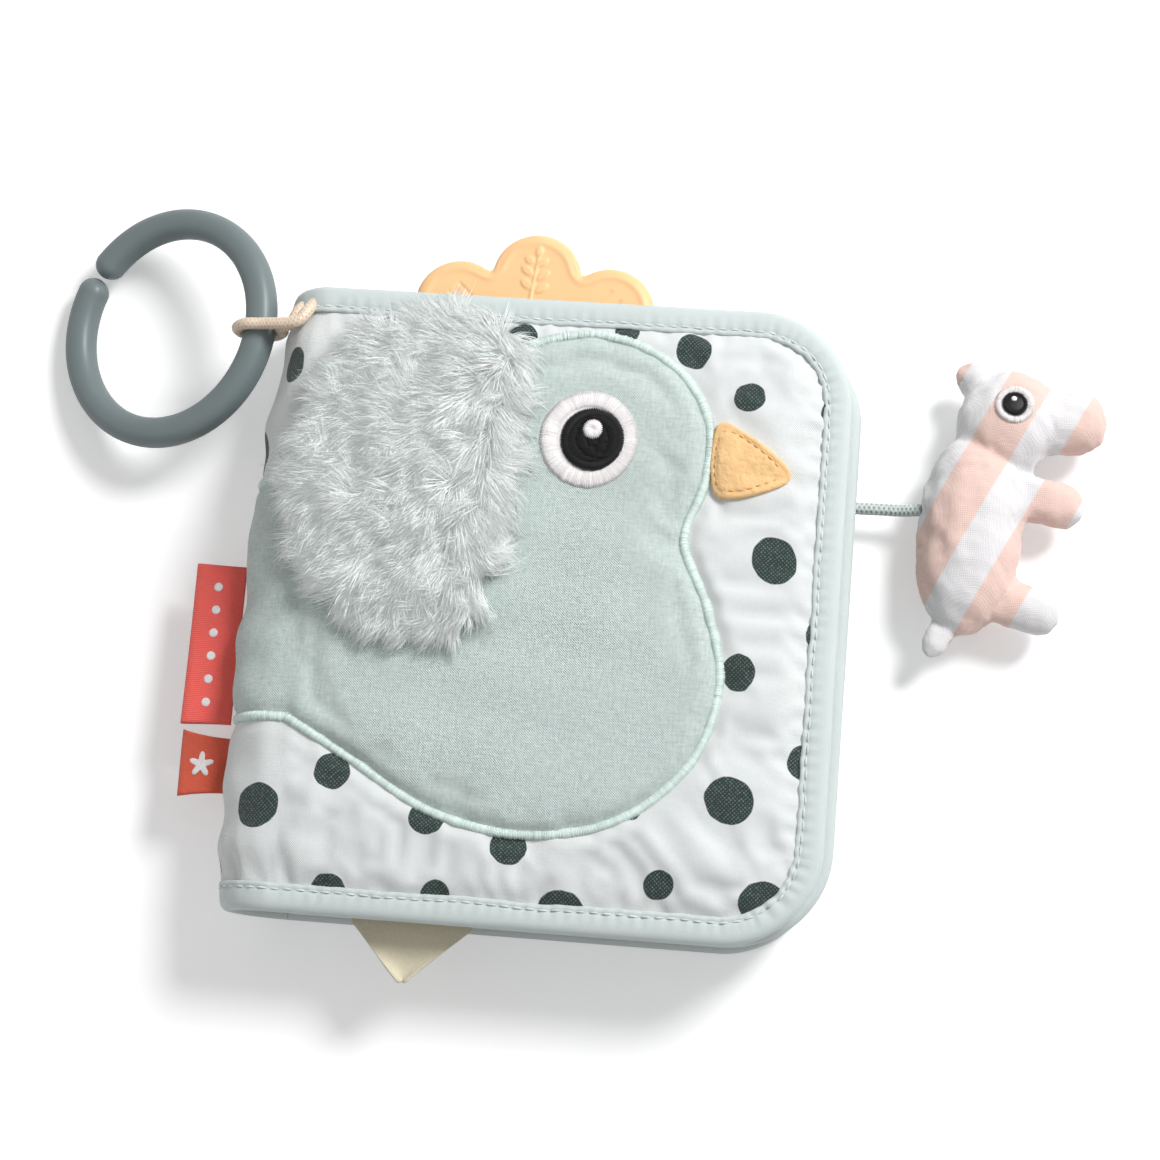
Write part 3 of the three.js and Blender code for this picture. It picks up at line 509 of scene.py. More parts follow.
def makeWorld(scene):  # white where it is seen or mirrored, dimmer where it lights the object
    world = bpy.data.worlds.new("paleRoom")
    scene.world = world
    world.use_nodes = True
    tree = world.node_tree
    tree.nodes.clear()
    path = addNode(tree, "ShaderNodeLightPath").outputs
    seen = mathNode(tree, "MAXIMUM", path["Is Camera Ray"], path["Is Glossy Ray"])
    seen = mathNode(tree, "MAXIMUM", seen, path["Is Transmission Ray"])
    strength = ranged(tree, seen, 0.0, 1.0, studio["world"], 1.0)
    light = addNode(tree, "ShaderNodeBackground", {"Color": (1, 1, 1, 1), "Strength": strength})
    addNode(tree, "ShaderNodeOutputWorld", {"Surface": light.outputs[0]})


def makeFloor():
    half = studio["floorHalf"]
    corners = [(-half, -half, 0), (half, -half, 0), (half, half, 0), (-half, half, 0)]
    floor = addPiece("floor", toMesh("floor", corners, [(0, 1, 2, 3)]), smooth=False)
    floor.location.z = -studio["floorDrop"] * mm
    paint = bpy.data.materials.new("floorPaint")
    paint.use_nodes = True
    tree = paint.node_tree
    tree.nodes.clear()
    # the floor seen by the camera is a little brighter than its light alone makes it, shadows kept
    path = addNode(tree, "ShaderNodeLightPath").outputs
    matt = addNode(tree, "ShaderNodeBsdfDiffuse", {"Color": studio["floor"]}).outputs[0]
    away = vectorNode(tree, "LENGTH", {0: addNode(tree, "ShaderNodeTexCoord").outputs["Object"]})
    glow = {"Color": (1, 1, 1, 1), "Strength": ranged(tree, away, *studio["glow"])}
    lit = addNode(tree, "ShaderNodeEmission", glow).outputs[0]
    both = addNode(tree, "ShaderNodeAddShader", {0: matt, 1: lit})
    pick = addNode(tree, "ShaderNodeMixShader", {0: path["Is Camera Ray"], 1: matt, 2: both.outputs[0]})
    addNode(tree, "ShaderNodeOutputMaterial", {"Surface": pick.outputs[0]})
    floor.data.materials.append(paint)


def makeStudio():
    scene = bpy.context.scene
    scene.view_settings.view_transform = "Standard"
    makeWorld(scene)
    for name, place, size, watts in studio["lamps"]:
        data = bpy.data.lights.new(name, "AREA")
        data.shape, data.size, data.energy = "DISK", size, watts
        lamp = bpy.data.objects.new(name, data)
        lamp.location = place
        lamp.rotation_euler = (-Vector(place)).to_track_quat("-Z", "Y").to_euler()
        scene.collection.objects.link(lamp)
    makeFloor()


makeCamera()
makeStudio()
print("camera and studio ready")


# materials

def startMaterial(name, colour, roughness, extra=None):
    material = bpy.data.materials.new(name)
    material.use_nodes = True
    tree = material.node_tree
    shader = tree.nodes["Principled BSDF"]
    shader.inputs["Base Color"].default_value = colour
    shader.inputs["Roughness"].default_value = roughness
    for key, value in (extra or {}).items():
        shader.inputs[key].default_value = value
    return material, tree, shader


def placeOf(tree, coords):  # a place in millimetres, on the object or along the cloth
    if coords == "cloth":
        return addNode(tree, "ShaderNodeUVMap", uv_map="cloth").outputs["UV"]
    place = addNode(tree, "ShaderNodeTexCoord").outputs["Object"]
    return vectorNode(tree, "SCALE", {0: place, "Scale": 1000.0})


def storedIn(tree, key, part="Fac"):
    return addNode(tree, "ShaderNodeAttribute", attribute_name=key).outputs[part]


def splitOf(tree, vector):
    return addNode(tree, "ShaderNodeSeparateXYZ", {0: vector}).outputs


def grain(tree, place, size, detail=2.0, low=0.0, high=1.0):  # noise of a size in millimetres
    noise = addNode(tree, "ShaderNodeTexNoise", {"Vector": place, "Scale": 1 / size, "Detail": detail})
    return ranged(tree, noise.outputs["Fac"], 0.3, 0.7, low, high)


def shaded(tree, shader, colour, shade):  # the colour goes to the surface, made darker by a grey
    grey = addNode(tree, "ShaderNodeCombineColor", {0: shade, 1: shade, 2: shade}).outputs[0]
    made = mixColour(tree, 1.0, colour, grey, "MULTIPLY")
    tree.links.new(made, shader.inputs["Base Color"])
    return made


def bumped(tree, shader, height, strength, deep):
    made = addNode(tree, "ShaderNodeBump", {"Strength": strength, "Distance": deep * mm, "Height": height})
    tree.links.new(made.outputs[0], shader.inputs["Normal"])


def weave(tree, place, pitch, kind):  # thread relief, mostly from crossing sines
    if kind == "felt":
        return grain(tree, place, pitch, 4.0, -0.5, 0.5)
    split = splitOf(tree, place)
    k = wholeTurn / pitch
    sx, sy, sz = (mathNode(tree, "SINE", mathNode(tree, "MULTIPLY", split[i], k)) for i in range(3))
    if kind == "rib":  # ribs across a ribbon
        return mathNode(tree, "MULTIPLY_ADD", sy, 1.0, mathNode(tree, "MULTIPLY", sx, 0.25))
    if kind == "twill":
        diagonal = mathNode(tree, "MULTIPLY", mathNode(tree, "ADD", split[0], split[1]), k * 0.72)
        line = mathNode(tree, "MULTIPLY", mathNode(tree, "SINE", diagonal), 0.7)
        return mathNode(tree, "MULTIPLY_ADD", sx, sy, line)
    cross = mathNode(tree, "MULTIPLY", sx, sy)
    if kind == "linen":  # plain weave whose threads swell and fade along their length
        slubs = []
        for stretch in ((0.3, 1.6, 1), (1.6, 0.3, 1)):
            drawn = vectorNode(tree, "MULTIPLY", {0: place, 1: stretch})
            slubs.append(grain(tree, drawn, pitch * 1.5, 2.0, -0.4, 0.4))
        return mathNode(tree, "ADD", cross, mathNode(tree, "ADD", *slubs))
    if kind == "solid":  # weave that holds on every side of a solid
        return mathNode(tree, "MULTIPLY_ADD", sz, sx, mathNode(tree, "MULTIPLY_ADD", sy, sz, cross))
    return cross


def clothMaterial(name, look, pattern=None):
    material, tree, shader = startMaterial(name, look["colour"], look["roughness"], look["extra"])
    place = placeOf(tree, look["coords"])
    threads = weave(tree, place, look["pitch"], look["kind"])
    fuzz = grain(tree, place, look["pitch"] * 1.7, 3.0)
    patch = grain(tree, place, 22.0)
    colour = mixColour(tree, patch, tuple(c * 0.965 for c in look["colour"][:3]) + (1,), look["colour"])
    if pattern:
        factor, ink = pattern(tree, place)
        colour = mixColour(tree, factor, colour, ink)
    # painted shade: the cloth is darker between its threads than on them; the flecks below are random tone
    shade = mathNode(tree, "MULTIPLY_ADD", threads, look["threadShade"], 1 - look["threadShade"])
    shade = mathNode(tree, "SUBTRACT", shade, look["fleck"] * 0.5)
    shade = mathNode(tree, "MULTIPLY_ADD", fuzz, look["fleck"], shade)
    shaded(tree, shader, colour, shade)
    relief = mathNode(tree, "MULTIPLY_ADD", fuzz, 0.8, threads)
    bumped(tree, shader, relief, look["bump"], look["pitch"] * 0.16)
    return material


dotPrint = {
    "ink": sRgb(44, 61, 57), "wobble": (3.4, 1.0, -0.16, 0.16), "edge": 0.1,
    "threads": 1.0, "fleck": (0.9, 2.0, -0.5, 0.5), "bare": (0.15, 1.1, 1.0, 0.8),  # thread tops take less ink
}


def inkDots(tree, place):  # printed dots from the piece's own offset to its nearest dot's middle
    split = splitOf(tree, storedIn(tree, "dots", "Vector"))
    offset = addNode(tree, "ShaderNodeCombineXYZ", {0: split[0], 1: split[1]}).outputs[0]
    reach = vectorNode(tree, "LENGTH", {0: offset})
    wobble = grain(tree, place, *dotPrint["wobble"])
    edge = mathNode(tree, "ADD", mathNode(tree, "SUBTRACT", reach, split[2]), wobble)
    inside = ranged(tree, edge, dotPrint["edge"], -dotPrint["edge"])
    threads = weave(tree, place, dotPrint["threads"], "plain")
    raised = mathNode(tree, "ADD", threads, grain(tree, place, *dotPrint["fleck"]))
    return mathNode(tree, "MULTIPLY", inside, ranged(tree, raised, *dotPrint["bare"])), dotPrint["ink"]


def stripes(pitch, share, axis, colour, slant=0.0):
    def pattern(tree, place):
        split = splitOf(tree, place)
        along = mathNode(tree, "MULTIPLY_ADD", split[1 - axis], slant, split[axis])
        turn = mathNode(tree, "FRACT", mathNode(tree, "DIVIDE", along, pitch))
        off = mathNode(tree, "ABSOLUTE", mathNode(tree, "SUBTRACT", turn, 0.5))
        return ranged(tree, off, share / 2 + 0.012, share / 2 - 0.012), colour
    return pattern


def threadMaterial(name, colour, roughness=0.45, sheen=0.3, gloss=0.5):  # glossy embroidery thread
    extra = {"Sheen Weight": sheen, "Sheen Roughness": 0.3, "Specular IOR Level": gloss}
    material, tree, shader = startMaterial(name, colour, roughness, extra)
    place = placeOf(tree, "object")
    fleck = grain(tree, place, 0.35, 2.0, 0.86, 1.08)
    patch = grain(tree, place, 3.2, 2.0, 0.94, 1.04)
    # each stitch's own random tone; on cords and the elastic, the painted shade stored between the strands;
    # pieces that store none, such as the discs under the eye's threads, come out darker as painted shade
    # beneath the threads
    each = mathNode(tree, "MULTIPLY_ADD", storedIn(tree, "tone"), 0.17, 0.88)
    shaded(tree, shader, colour, mathNode(tree, "MULTIPLY", mathNode(tree, "MULTIPLY", fleck, patch), each))
    bumped(tree, shader, fleck, 0.3, 0.05)
    return material


pile = {
    "colour": sRgb(236, 241, 239), "roughness": 0.72, "tufts": (sRgb(224, 231, 229), sRgb(249, 251, 250)),
    "roots": (0.0, 0.55, 0.74, 1.0),  # two shares of a strand, and the painted shade at each: darker toward the root
    "extra": {
        "Sheen Weight": 0.3, "Sheen Roughness": 0.5, "Specular IOR Level": 0.07,
        "Emission Strength": 0.135,  # painted glow that stands in for light passed on from strand to strand
    },
}


def furMaterial():
    material, tree, shader = startMaterial("longPile", pile["colour"], pile["roughness"], pile["extra"])
    tone = mixColour(tree, storedIn(tree, "tuft"), *pile["tufts"])
    # painted shade: each strand darker toward its root
    colour = shaded(tree, shader, tone, ranged(tree, storedIn(tree, "reach"), *pile["roots"]))
    # painted light: the strands glow in their own colour
    tree.links.new(colour, shader.inputs["Emission Color"])
    return material


def mouldedMaterial(name, colour, roughness, extra, grainSize, bumpStrength):  # plastic or silicone
    material, tree, shader = startMaterial(name, colour, roughness, extra)
    place = placeOf(tree, "object")
    shaded(tree, shader, colour, grain(tree, place, 14.0, 2.0, 0.965, 1.02))
    bumped(tree, shader, grain(tree, place, grainSize, 3.0), bumpStrength, 0.03)
    return material


fabricSheen = {"Sheen Weight": 0.25, "Sheen Roughness": 0.5, "Specular IOR Level": 0.25}
satinSheen = {"Sheen Weight": 0.35, "Sheen Roughness": 0.35, "Specular IOR Level": 0.35}
lookKeys = ("colour", "roughness", "pitch", "kind", "bump", "threadShade", "fleck", "coords", "extra")
looks = {
    "cotton": (sRgb(226, 229, 229), 0.9, 0.56, "linen", 0.6, 0.018, 0.03, "cloth", fabricSheen),
    "sage": (sRgb(220, 234, 230), 0.92, 0.62, "linen", 1.0, 0.15, 0.1, "cloth", fabricSheen),
    "tape": (sRgb(207, 217, 216), 0.55, 0.3, "twill", 0.45, 0.035, 0.05, "cloth", satinSheen),
    "lining": (sRgb(226, 231, 230), 0.9, 0.5, "plain", 0.5, 0.04, 0.05, "cloth", fabricSheen),
    "wadding": (sRgb(244, 244, 242), 1.0, 1.6, "solid", 0.9, 0.02, 0.08, "object", None),
    "cream": (sRgb(228, 219, 194), 0.9, 0.42, "plain", 0.5, 0.05, 0.09, "object", fabricSheen),
    "coral": (sRgb(249, 104, 95), 0.7, 0.5, "rib", 0.6, 0.05, 0.04, "object", fabricSheen),
    "rust": (sRgb(224, 96, 70), 0.75, 0.42, "solid", 0.6, 0.06, 0.08, "object", fabricSheen),
    "felt": (sRgb(244, 200, 142), 0.95, 1.4, "felt", 0.7, 0.05, 0.1, "object", {"Sheen Weight": 0.4}),
    "toy": (sRgb(232, 230, 232), 0.9, 0.55, "solid", 0.42, 0.055, 0.05, "object", fabricSheen),
    "tab": (sRgb(207, 217, 216), 0.6, 0.4, "solid", 0.4, 0.03, 0.04, "object", fabricSheen),
}
blush = sRgb(235, 204, 194)
cloths = {
    "coverCotton": ("cotton", inkDots), "backCotton": ("cotton", inkDots), "sageTwill": ("sage",),
    "satinTape": ("tape",), "paleLining": ("lining",),
    "stripedLining": ("lining", stripes(18.0, 0.5, 0, sRgb(205, 216, 213))),
    "blushStripes": ("cotton", stripes(14.0, 0.45, 1, blush)),
    "sageStripes": ("cotton", stripes(9.0, 0.4, 0, sRgb(178, 192, 189))),
    "mintStripes": ("cotton", stripes(22.0, 0.5, 1, sRgb(206, 221, 216), 1.0)),
    "wadding": ("wadding",), "creamCloth": ("cream",), "coralRibbon": ("coral",), "rustRibbon": ("rust",),
    "apricotFelt": ("felt",), "tabCloth": ("tab",), "toyCloth": ("toy", stripes(23.5, 0.52, 0, blush, -0.5)),
}
threads = {  # colour, roughness, sheen, gloss
    "mintThread": (sRgb(226, 242, 236), 0.4, 0.4), "whiteThread": (sRgb(244, 240, 240), 0.5),
    "blackThread": (sRgb(24, 24, 26), 0.5, 0.0, 0.22), "tapeThread": (sRgb(216, 224, 223), 0.5),
    "apricotThread": (sRgb(236, 178, 110), 0.5), "roseElastic": (sRgb(236, 214, 190), 0.3, 0.5),
    "greyCord": (sRgb(203, 214, 211), 0.45),
}
silicone = {"Specular IOR Level": 0.4, "Subsurface Weight": 0.08, "Subsurface Scale": 0.004}
moulded = {  # colour, roughness, other numbers, size of the grain and its strength
    "slatePlastic": (sRgb(112, 124, 125), 0.42, {"Specular IOR Level": 0.45}, 0.5, 0.12),
    "silicone": (sRgb(246, 199, 146), 0.48, silicone, 0.7, 0.15),
    "film": (sRgb(224, 229, 232), 0.25, {}, 6.0, 0.6),
}
paints = {"longPile": furMaterial()}
for key, (look, *pattern) in cloths.items():
    paints[key] = clothMaterial(key, dict(zip(lookKeys, looks[look])), *pattern)
for key, values in threads.items():
    paints[key] = threadMaterial(key, *values)
for key, values in moulded.items():
    paints[key] = mouldedMaterial(key, *values)
print("materials ready")


# repeats, built with geometry nodes

def treeWith(name, sockets):
    tree = bpy.data.node_groups.new(name, "GeometryNodeTree")
    tree.interface.new_socket("Geometry", in_out="INPUT", socket_type="NodeSocketGeometry")
    for title, kind, value in sockets:
        made = tree.interface.new_socket(title, in_out="INPUT", socket_type="NodeSocket" + kind)
        if value is not None:
            made.default_value = value
    tree.interface.new_socket("Geometry", in_out="OUTPUT", socket_type="NodeSocketGeometry")
    return tree, addNode(tree, "NodeGroupInput").outputs


def randomNode(tree, low, high, seed):
    made = addNode(tree, "FunctionNodeRandomValue", {2: low, 3: high, "Seed": seed}, data_type="FLOAT")
    return made.outputs[1]


def vectorOf(tree, key):
    return addNode(tree, "GeometryNodeInputNamedAttribute", {"Name": key}, data_type="FLOAT_VECTOR").outputs[0]


def turnTo(tree, axis, aim, second, secondAim):  # one axis lies along aim, and the second turns about it
    kind = "FunctionNodeAlignRotationToVector"
    turn = addNode(tree, kind, {"Vector": aim}, axis=axis)
    values = {"Rotation": turn.outputs[0], "Vector": secondAim}
    return addNode(tree, kind, values, axis=second, pivot_axis=axis).outputs[0]


def finishTree(tree, copies, key, seed, material):  # each copy's own tone, then real mesh with its material
    values = {"Geometry": copies, "Name": key, "Value": randomNode(tree, 0.0, 1.0, seed)}
    toned = addNode(tree, "GeometryNodeStoreNamedAttribute", values, data_type="FLOAT", domain="INSTANCE")
    real = addNode(tree, "GeometryNodeRealizeInstances", {"Geometry": toned.outputs[0]})
    paint = addNode(tree, "GeometryNodeSetMaterial", {"Geometry": real.outputs[0], "Material": material})
    addNode(tree, "NodeGroupOutput", {0: paint.outputs[0]})
    return tree


def makeStitchTree():  # copies of one stitch at even steps along a sewn line
    tree, given = treeWith("stitchesAlong", [
        ("Stitch", "Object", None), ("Spacing", "Float", 0.003), ("Unevenness", "Float", 0.1),
        ("Seed", "Int", 0), ("Thread", "Material", None),
    ])
    line = addNode(tree, "GeometryNodeMeshToCurve", {"Mesh": given["Geometry"]}).outputs[0]
    values = {"Curve": line, "Length": given["Spacing"]}
    even = addNode(tree, "GeometryNodeResampleCurve", values, mode="LENGTH")
    along = addNode(tree, "GeometryNodeInputTangent").outputs[0]
    low = mathNode(tree, "SUBTRACT", 1.0, given["Unevenness"])
    high = mathNode(tree, "ADD", 1.0, given["Unevenness"])
    copies = addNode(tree, "GeometryNodeInstanceOnPoints", {
        "Points": even.outputs[0], "Rotation": turnTo(tree, "X", along, "Z", vectorOf(tree, "up")),
        "Instance": addNode(tree, "GeometryNodeObjectInfo", {"Object": given["Stitch"]}).outputs["Geometry"],
        "Scale": randomNode(tree, low, high, given["Seed"]),
    })
    return finishTree(tree, copies.outputs[0], "tone", 5, given["Thread"])


def makeFurTree():  # tufts of pile spread over a pad, each leaning the way its nap lies
    tree, given = treeWith("pileOver", [
        ("Tufts", "Collection", None), ("Density", "Float", 200000.0), ("Lean", "Float", 1.0),
        ("Unruliness", "Float", 0.3), ("Shortest", "Float", 0.7), ("Longest", "Float", 1.2),
        ("Seed", "Int", 0), ("Pile", "Material", None),
    ])
    values = {"Mesh": given["Geometry"], "Density": given["Density"], "Seed": given["Seed"]}
    roots = addNode(tree, "GeometryNodeDistributePointsOnFaces", values, distribute_method="RANDOM").outputs
    nap = vectorNode(tree, "SCALE", {0: vectorOf(tree, "nap"), "Scale": given["Lean"]})
    values = {0: (-1, -1, -0.3), 1: (1, 1, 0.6), "Seed": given["Seed"]}
    stray = addNode(tree, "FunctionNodeRandomValue", values, data_type="FLOAT_VECTOR").outputs[0]
    stray = vectorNode(tree, "SCALE", {0: stray, "Scale": given["Unruliness"]})
    aim = vectorNode(tree, "ADD", {0: vectorNode(tree, "ADD", {0: roots["Normal"], 1: nap}), 1: stray})
    values = {"Collection": given["Tufts"], "Separate Children": True, "Reset Children": True}
    tufts = addNode(tree, "GeometryNodeCollectionInfo", values).outputs[0]
    which = addNode(tree, "FunctionNodeRandomValue", {4: 0, 5: 5, "Seed": given["Seed"]}, data_type="INT")
    copies = addNode(tree, "GeometryNodeInstanceOnPoints", {
        "Points": roots["Points"], "Instance": tufts, "Pick Instance": True, "Instance Index": which.outputs[2],
        "Rotation": turnTo(tree, "Z", aim, "X", nap),
        "Scale": randomNode(tree, given["Shortest"], given["Longest"], given["Seed"]),
    })
    return finishTree(tree, copies.outputs[0], "tuft", 11, given["Pile"])


stitchTree = makeStitchTree()
furTree = makeFurTree()


def runNodes(host, tree, values, name, material):  # the evaluated result as a plain piece
    modifier = host.modifiers.new("repeat", "NODES")
    modifier.node_group = tree
    for item in tree.interface.items_tree:
        if item.item_type == "SOCKET" and item.in_out == "INPUT" and item.name in values:
            modifier[item.identifier] = values[item.name]
    host.update_tag()
    mesh = asMesh(host)
    bpy.data.objects.remove(host)
    return addPiece(name, mesh, material)


def unitThread(length, width, height, along="x", segments=6, sides=5):
    # one thread lying on the cloth: its ends go down into it
    rings = []
    for i in range(segments + 1):
        t = i / segments
        bow = math.sin(math.pi * t)
        reach = (t - 0.5) * length
        thin = 0.55 + 0.45 * bow ** 0.5 if 0 < i < segments else 0.5
        ring = []
        for k in range(sides):
            a = wholeTurn * k / sides
            side = width / 2 * thin * math.cos(a)
            z = height * (bow ** 0.7 if bow > 0 else 0) - height * 0.35 + width / 2 * thin * math.sin(a)
            ring.append((reach, side, z) if along == "x" else (side, reach, z))
        rings.append(ring)
    return sweepPiece("unitThread", rings)


def stitchAlong(name, lines, ups, unit, spacing, material, uneven, seed, closed=False):
    points, edges, normals = [], [], []
    for line, up in zip(lines, ups):
        start = len(points)
        points.extend(line)
        normals.extend(np.broadcast_to(up, np.shape(line)))
        edges.extend((start + i, start + i + 1) for i in range(len(line) - 1))
        if closed:
            edges.append((len(points) - 1, start))
    host = addPiece(name + "Line", toMesh(name + "Line", points, [], edges), smooth=False)
    store(host.data, "up", normals)
    values = {"Stitch": unit, "Spacing": spacing * mm, "Unevenness": uneven, "Seed": seed, "Thread": material}
    return runNodes(host, stitchTree, values, name, material)


def threadAlong(name, lines, ups, thread, *settings, closed=True):  # with a thread made for it alone
    unit = unitThread(**thread)
    piece = stitchAlong(name, lines, ups, unit, *settings, closed=closed)
    bpy.data.objects.remove(unit)
    return piece


print("node trees ready")


# the toy's cord, before the other pieces

toyCord = {
    "diameter": 3.2,
    "route": [(55.295, 36, 8.012), (62.19, 36, 8.012), (68.101, 36, 8.012), (74.011, 36, 8.012),
              (80.946, 36, 8.47), (86.556, 36, 8.866), (91.996, 36, 11.06)],
    "strands": 4, "layLength": 5.0, "relief": 0.24, "around": 40, "step": 0.3,
}


def cordRings(spec):
    line = smoothLine(spec["route"], 200)
    line, at = evenLine(line, int(runOf(line)[-1] / spec["step"]))
    ahead = np.gradient(line, axis=0)
    ahead /= np.linalg.norm(ahead, axis=1)[:, None]
    side = np.cross(ahead[0], straightUp)
    a, count, relief = turnsRound(spec["around"]), spec["strands"], spec["relief"]
    rings, hollowShades = [], []
    for p, d, run in zip(line, ahead, at):
        side = side - d * (side @ d)
        side /= np.linalg.norm(side)
        turn = wholeTurn * run / spec["layLength"]
        # two sets of strands wound opposite ways make the braid
        braid = np.maximum(np.cos(count * a + count * turn), np.cos(count * a - count * turn))
        r = spec["diameter"] / 2 * (1 - relief / 2 + relief / 2 * braid)
        rings.append(p + np.outer(r * np.cos(a), side) + np.outer(r * np.sin(a), np.cross(side, d)))
        # painted shade, darker in the hollows between the strands
        hollowShades.append(1 - 14 * relief * np.clip(0.78 - braid, 0, 1))
    return np.array(rings), line, np.array(hollowShades)


def makeToyCord():
    rings, line, tone = cordRings(toyCord)
    piece = sweepPiece("toyCord", rings, material=paints["greyCord"], tone=tone)
    rideOn(piece, "toy", "grey_cord", "toy_cord")


makeToyCord()


# the cover's cloth, from the fore-edge over the fold and round the spine

coverSheet = {
    "step": 2.5, "spineSteps": 24, "height": 157, "edge": 78.6, "hem": 1.4, "ply": 0.5,
    "pressure": 6.0, "cap": 1.5, "steps": 18,  # of the cloth simulation
    "pucker": 0.5, "puckerEvery": 5.6, "wrinkle": 0.26, "pull": 0.28, "valley": 0.75,
    "stitchDip": 0.95,  # how far sewing presses the padding down
}
clothSettings = {
    "quality": 6, "mass": 0.08, "tension_stiffness": 12, "compression_stiffness": 12, "shear_stiffness": 6,
    "bending_stiffness": 0.4, "air_damping": 3, "vertex_group_mass": "sewn", "shrink_min": -0.02,
    "use_pressure": True,
}
birdShares = [
    (0, 0.36), (0.12, 0.47), (0.25, 0.67), (0.38, 0.83), (0.52, 0.885), (0.66, 0.8), (0.735, 0.62),
    (0.735, 0.42), (0.705, 0.24), (0.755, 0.04), (0.79, -0.2), (0.75, -0.45), (0.63, -0.64), (0.46, -0.71),
    (0.28, -0.66), (0.13, -0.52), (0, -0.4),
]
wingShares = [
    (0.03, 0.31), (0.06, 0.57), (0.13, 0.8), (0.23, 0.935), (0.33, 0.95), (0.374, 0.83), (0.363, 0.6),
    (0.352, 0.32), (0.341, 0.08), (0.3, -0.06), (0.23, -0.08), (0.13, 0.01), (0.06, 0.14),
]


def onCover(shares):
    return [(book["fold"] + sx * book["reach"], sy * book["half"]) for sx, sy in shares]


def measureSpine():  # running places past the fold, and the turn round the spine at each
    turns = np.linspace(0, math.pi, 200)
    return runOf(archPoint(np.zeros(200), 0, turns)) - book["fold"] + book["clear"], turns


spineReach = measureSpine()


def coverAt(u, y):  # surface at rest; u is x on the cover and a running length round the spine
    high = book["frontTop"] - book["frontMid"]
    flatTop = book["frontMid"] + padHeight(pages["front"], u, y, high, book["crown"], "soft")
    foldTop = archPoint(y, 0, 0.0)[..., 2]
    near = smooth01((book["fold"] + 8 - u) / 8)
    cover = np.stack(np.broadcast_arrays(u, y, flatTop * (1 - near) + foldTop * near), -1)
    turn = np.interp(-u, spineReach[0], spineReach[1])
    return np.where((u < book["fold"] - book["clear"])[..., None], archPoint(y, 0, turn), cover)


def makeBirdOutline():  # its breast and back on the cover, and straight on round the spine
    line = smoothLine(onCover(birdShares), 160)
    end = -np.interp(math.pi * 0.72, spineReach[1], spineReach[0])
    (headX, headY), (tailX, tailY) = line[0], line[-1]
    return np.vstack([
        line, [(u, tailY) for u in np.linspace(tailX - 1, end, 30)],
        [(end, y) for y in np.linspace(tailY + 1.5, headY - 1.5, 40)],
        [(u, headY) for u in np.linspace(end, headX - 1, 30)],
    ])


birdOutline = makeBirdOutline()
wingOutline = smoothLine(onCover(wingShares), 120, closed=True)


def gridNormals(grid):
    a, b = np.gradient(grid, axis=0), np.gradient(grid, axis=1)
    n = np.cross(b, a)
    return n / np.maximum(np.linalg.norm(n, axis=2), 1e-9)[..., None]


def finer(values):  # twice as many places each way, on a smooth curve through the old ones
    for axis in (0, 1):
        v = np.moveaxis(values, axis, 0)
        before = np.concatenate([v[:1], v[:-1]])
        after = np.concatenate([v[2:], v[-1:]])
        mid = (-before[:-1] + 9 * v[:-1] + 9 * v[1:] - after) / 16
        out = np.empty((2 * len(v) - 1,) + v.shape[1:])
        out[0::2], out[1::2] = v, mid
        values = np.moveaxis(out, 0, axis)
    return values


def puffed(piece, rest, pinned, spec, words):  # padding pushes the cloth out between its seams, up to a limit
    group = piece.vertex_groups.new(name="sewn")
    for i, weight in enumerate(pinned):
        if weight > 0:
            group.add([i], float(weight), "ADD")
    cloth = piece.modifiers.new("padding", "CLOTH")
    for key, value in clothSettings.items():
        setattr(cloth.settings, key, value)
    cloth.settings.uniform_pressure_force = spec["pressure"]
    cloth.settings.effector_weights.gravity = 0
    cloth.collision_settings.use_self_collision = False
    cloth.point_cache.frame_start, cloth.point_cache.frame_end = 1, spec["steps"]
    scene = bpy.context.scene
    for f in range(1, spec["steps"] + 1):
        scene.frame_set(f)
    moved = placesOf(piece.evaluated_get(bpy.context.evaluated_depsgraph_get())) - rest
    piece.modifiers.remove(cloth)
    scene.frame_set(1)
    far = np.linalg.norm(moved, axis=1)
    print(words, "moved up to", round(float(far.max()), 2), "mm")
    return rest + moved * np.minimum(1, spec["cap"] / np.maximum(far, 1e-6))[:, None]


def insetOnCover(u, y):
    return np.where(u > book["fold"], insetOf(pages["front"], u, y), book["half"] - np.abs(y))


def coverLift(u, y, inset):  # puckers, wrinkles and slack over the padded cloth
    fold = book["fold"]
    run = np.where(u > fold, alongEdge(pages["front"], u, y), u)
    gather = np.sin(wholeTurn * (run + 2.4 * waves(u, y, 26, 3)) / coverSheet["puckerEvery"])
    near = np.exp(-np.maximum(inset - 7.2, 0) / 4.0) * smooth01((inset - 6) / 1.5)
    lift = coverSheet["pucker"] * gather * near * np.clip(0.55 + 0.45 * waves(u, y, 48, 5), 0.1, 1.4)
    lift += coverSheet["wrinkle"] * waves(u, y, 30, 8) * smooth01((inset - 9) / 10)
    for side in (-1, 1):  # soft diagonal pulls toward the two rounded corners
        dx, dy = u - (book["fore"] - 20), y - side * (book["half"] - 20)
        pull = np.sin(wholeTurn * (dy - dx * side) * 0.7071 / 9.5 + 1.3 * side)
        lift += coverSheet["pull"] * pull * np.exp(-(dx ** 2 + dy ** 2) / 420) * smooth01((inset - 7) / 4)
    # the fold's own soft valley and the spine's slack
    valley = bellAt(u, fold - 1.5, 3.2) * (0.8 + 0.35 * waves(u, y, 34, 12))
    lift -= coverSheet["valley"] * valley * smooth01((inset - 6) / 6)
    onSpine = smooth01((fold - 4 - u) / 8)
    lift += onSpine * 0.55 * waves(u * 0.6, y, 22, 21) * smooth01((inset - 7) / 7)
    slack = np.sin(wholeTurn * (u + 1.5 * waves(u, y, 20, 17)) / 7.5)
    return lift + onSpine * 0.45 * slack * np.exp(-np.maximum(inset - 7, 0) / 7)


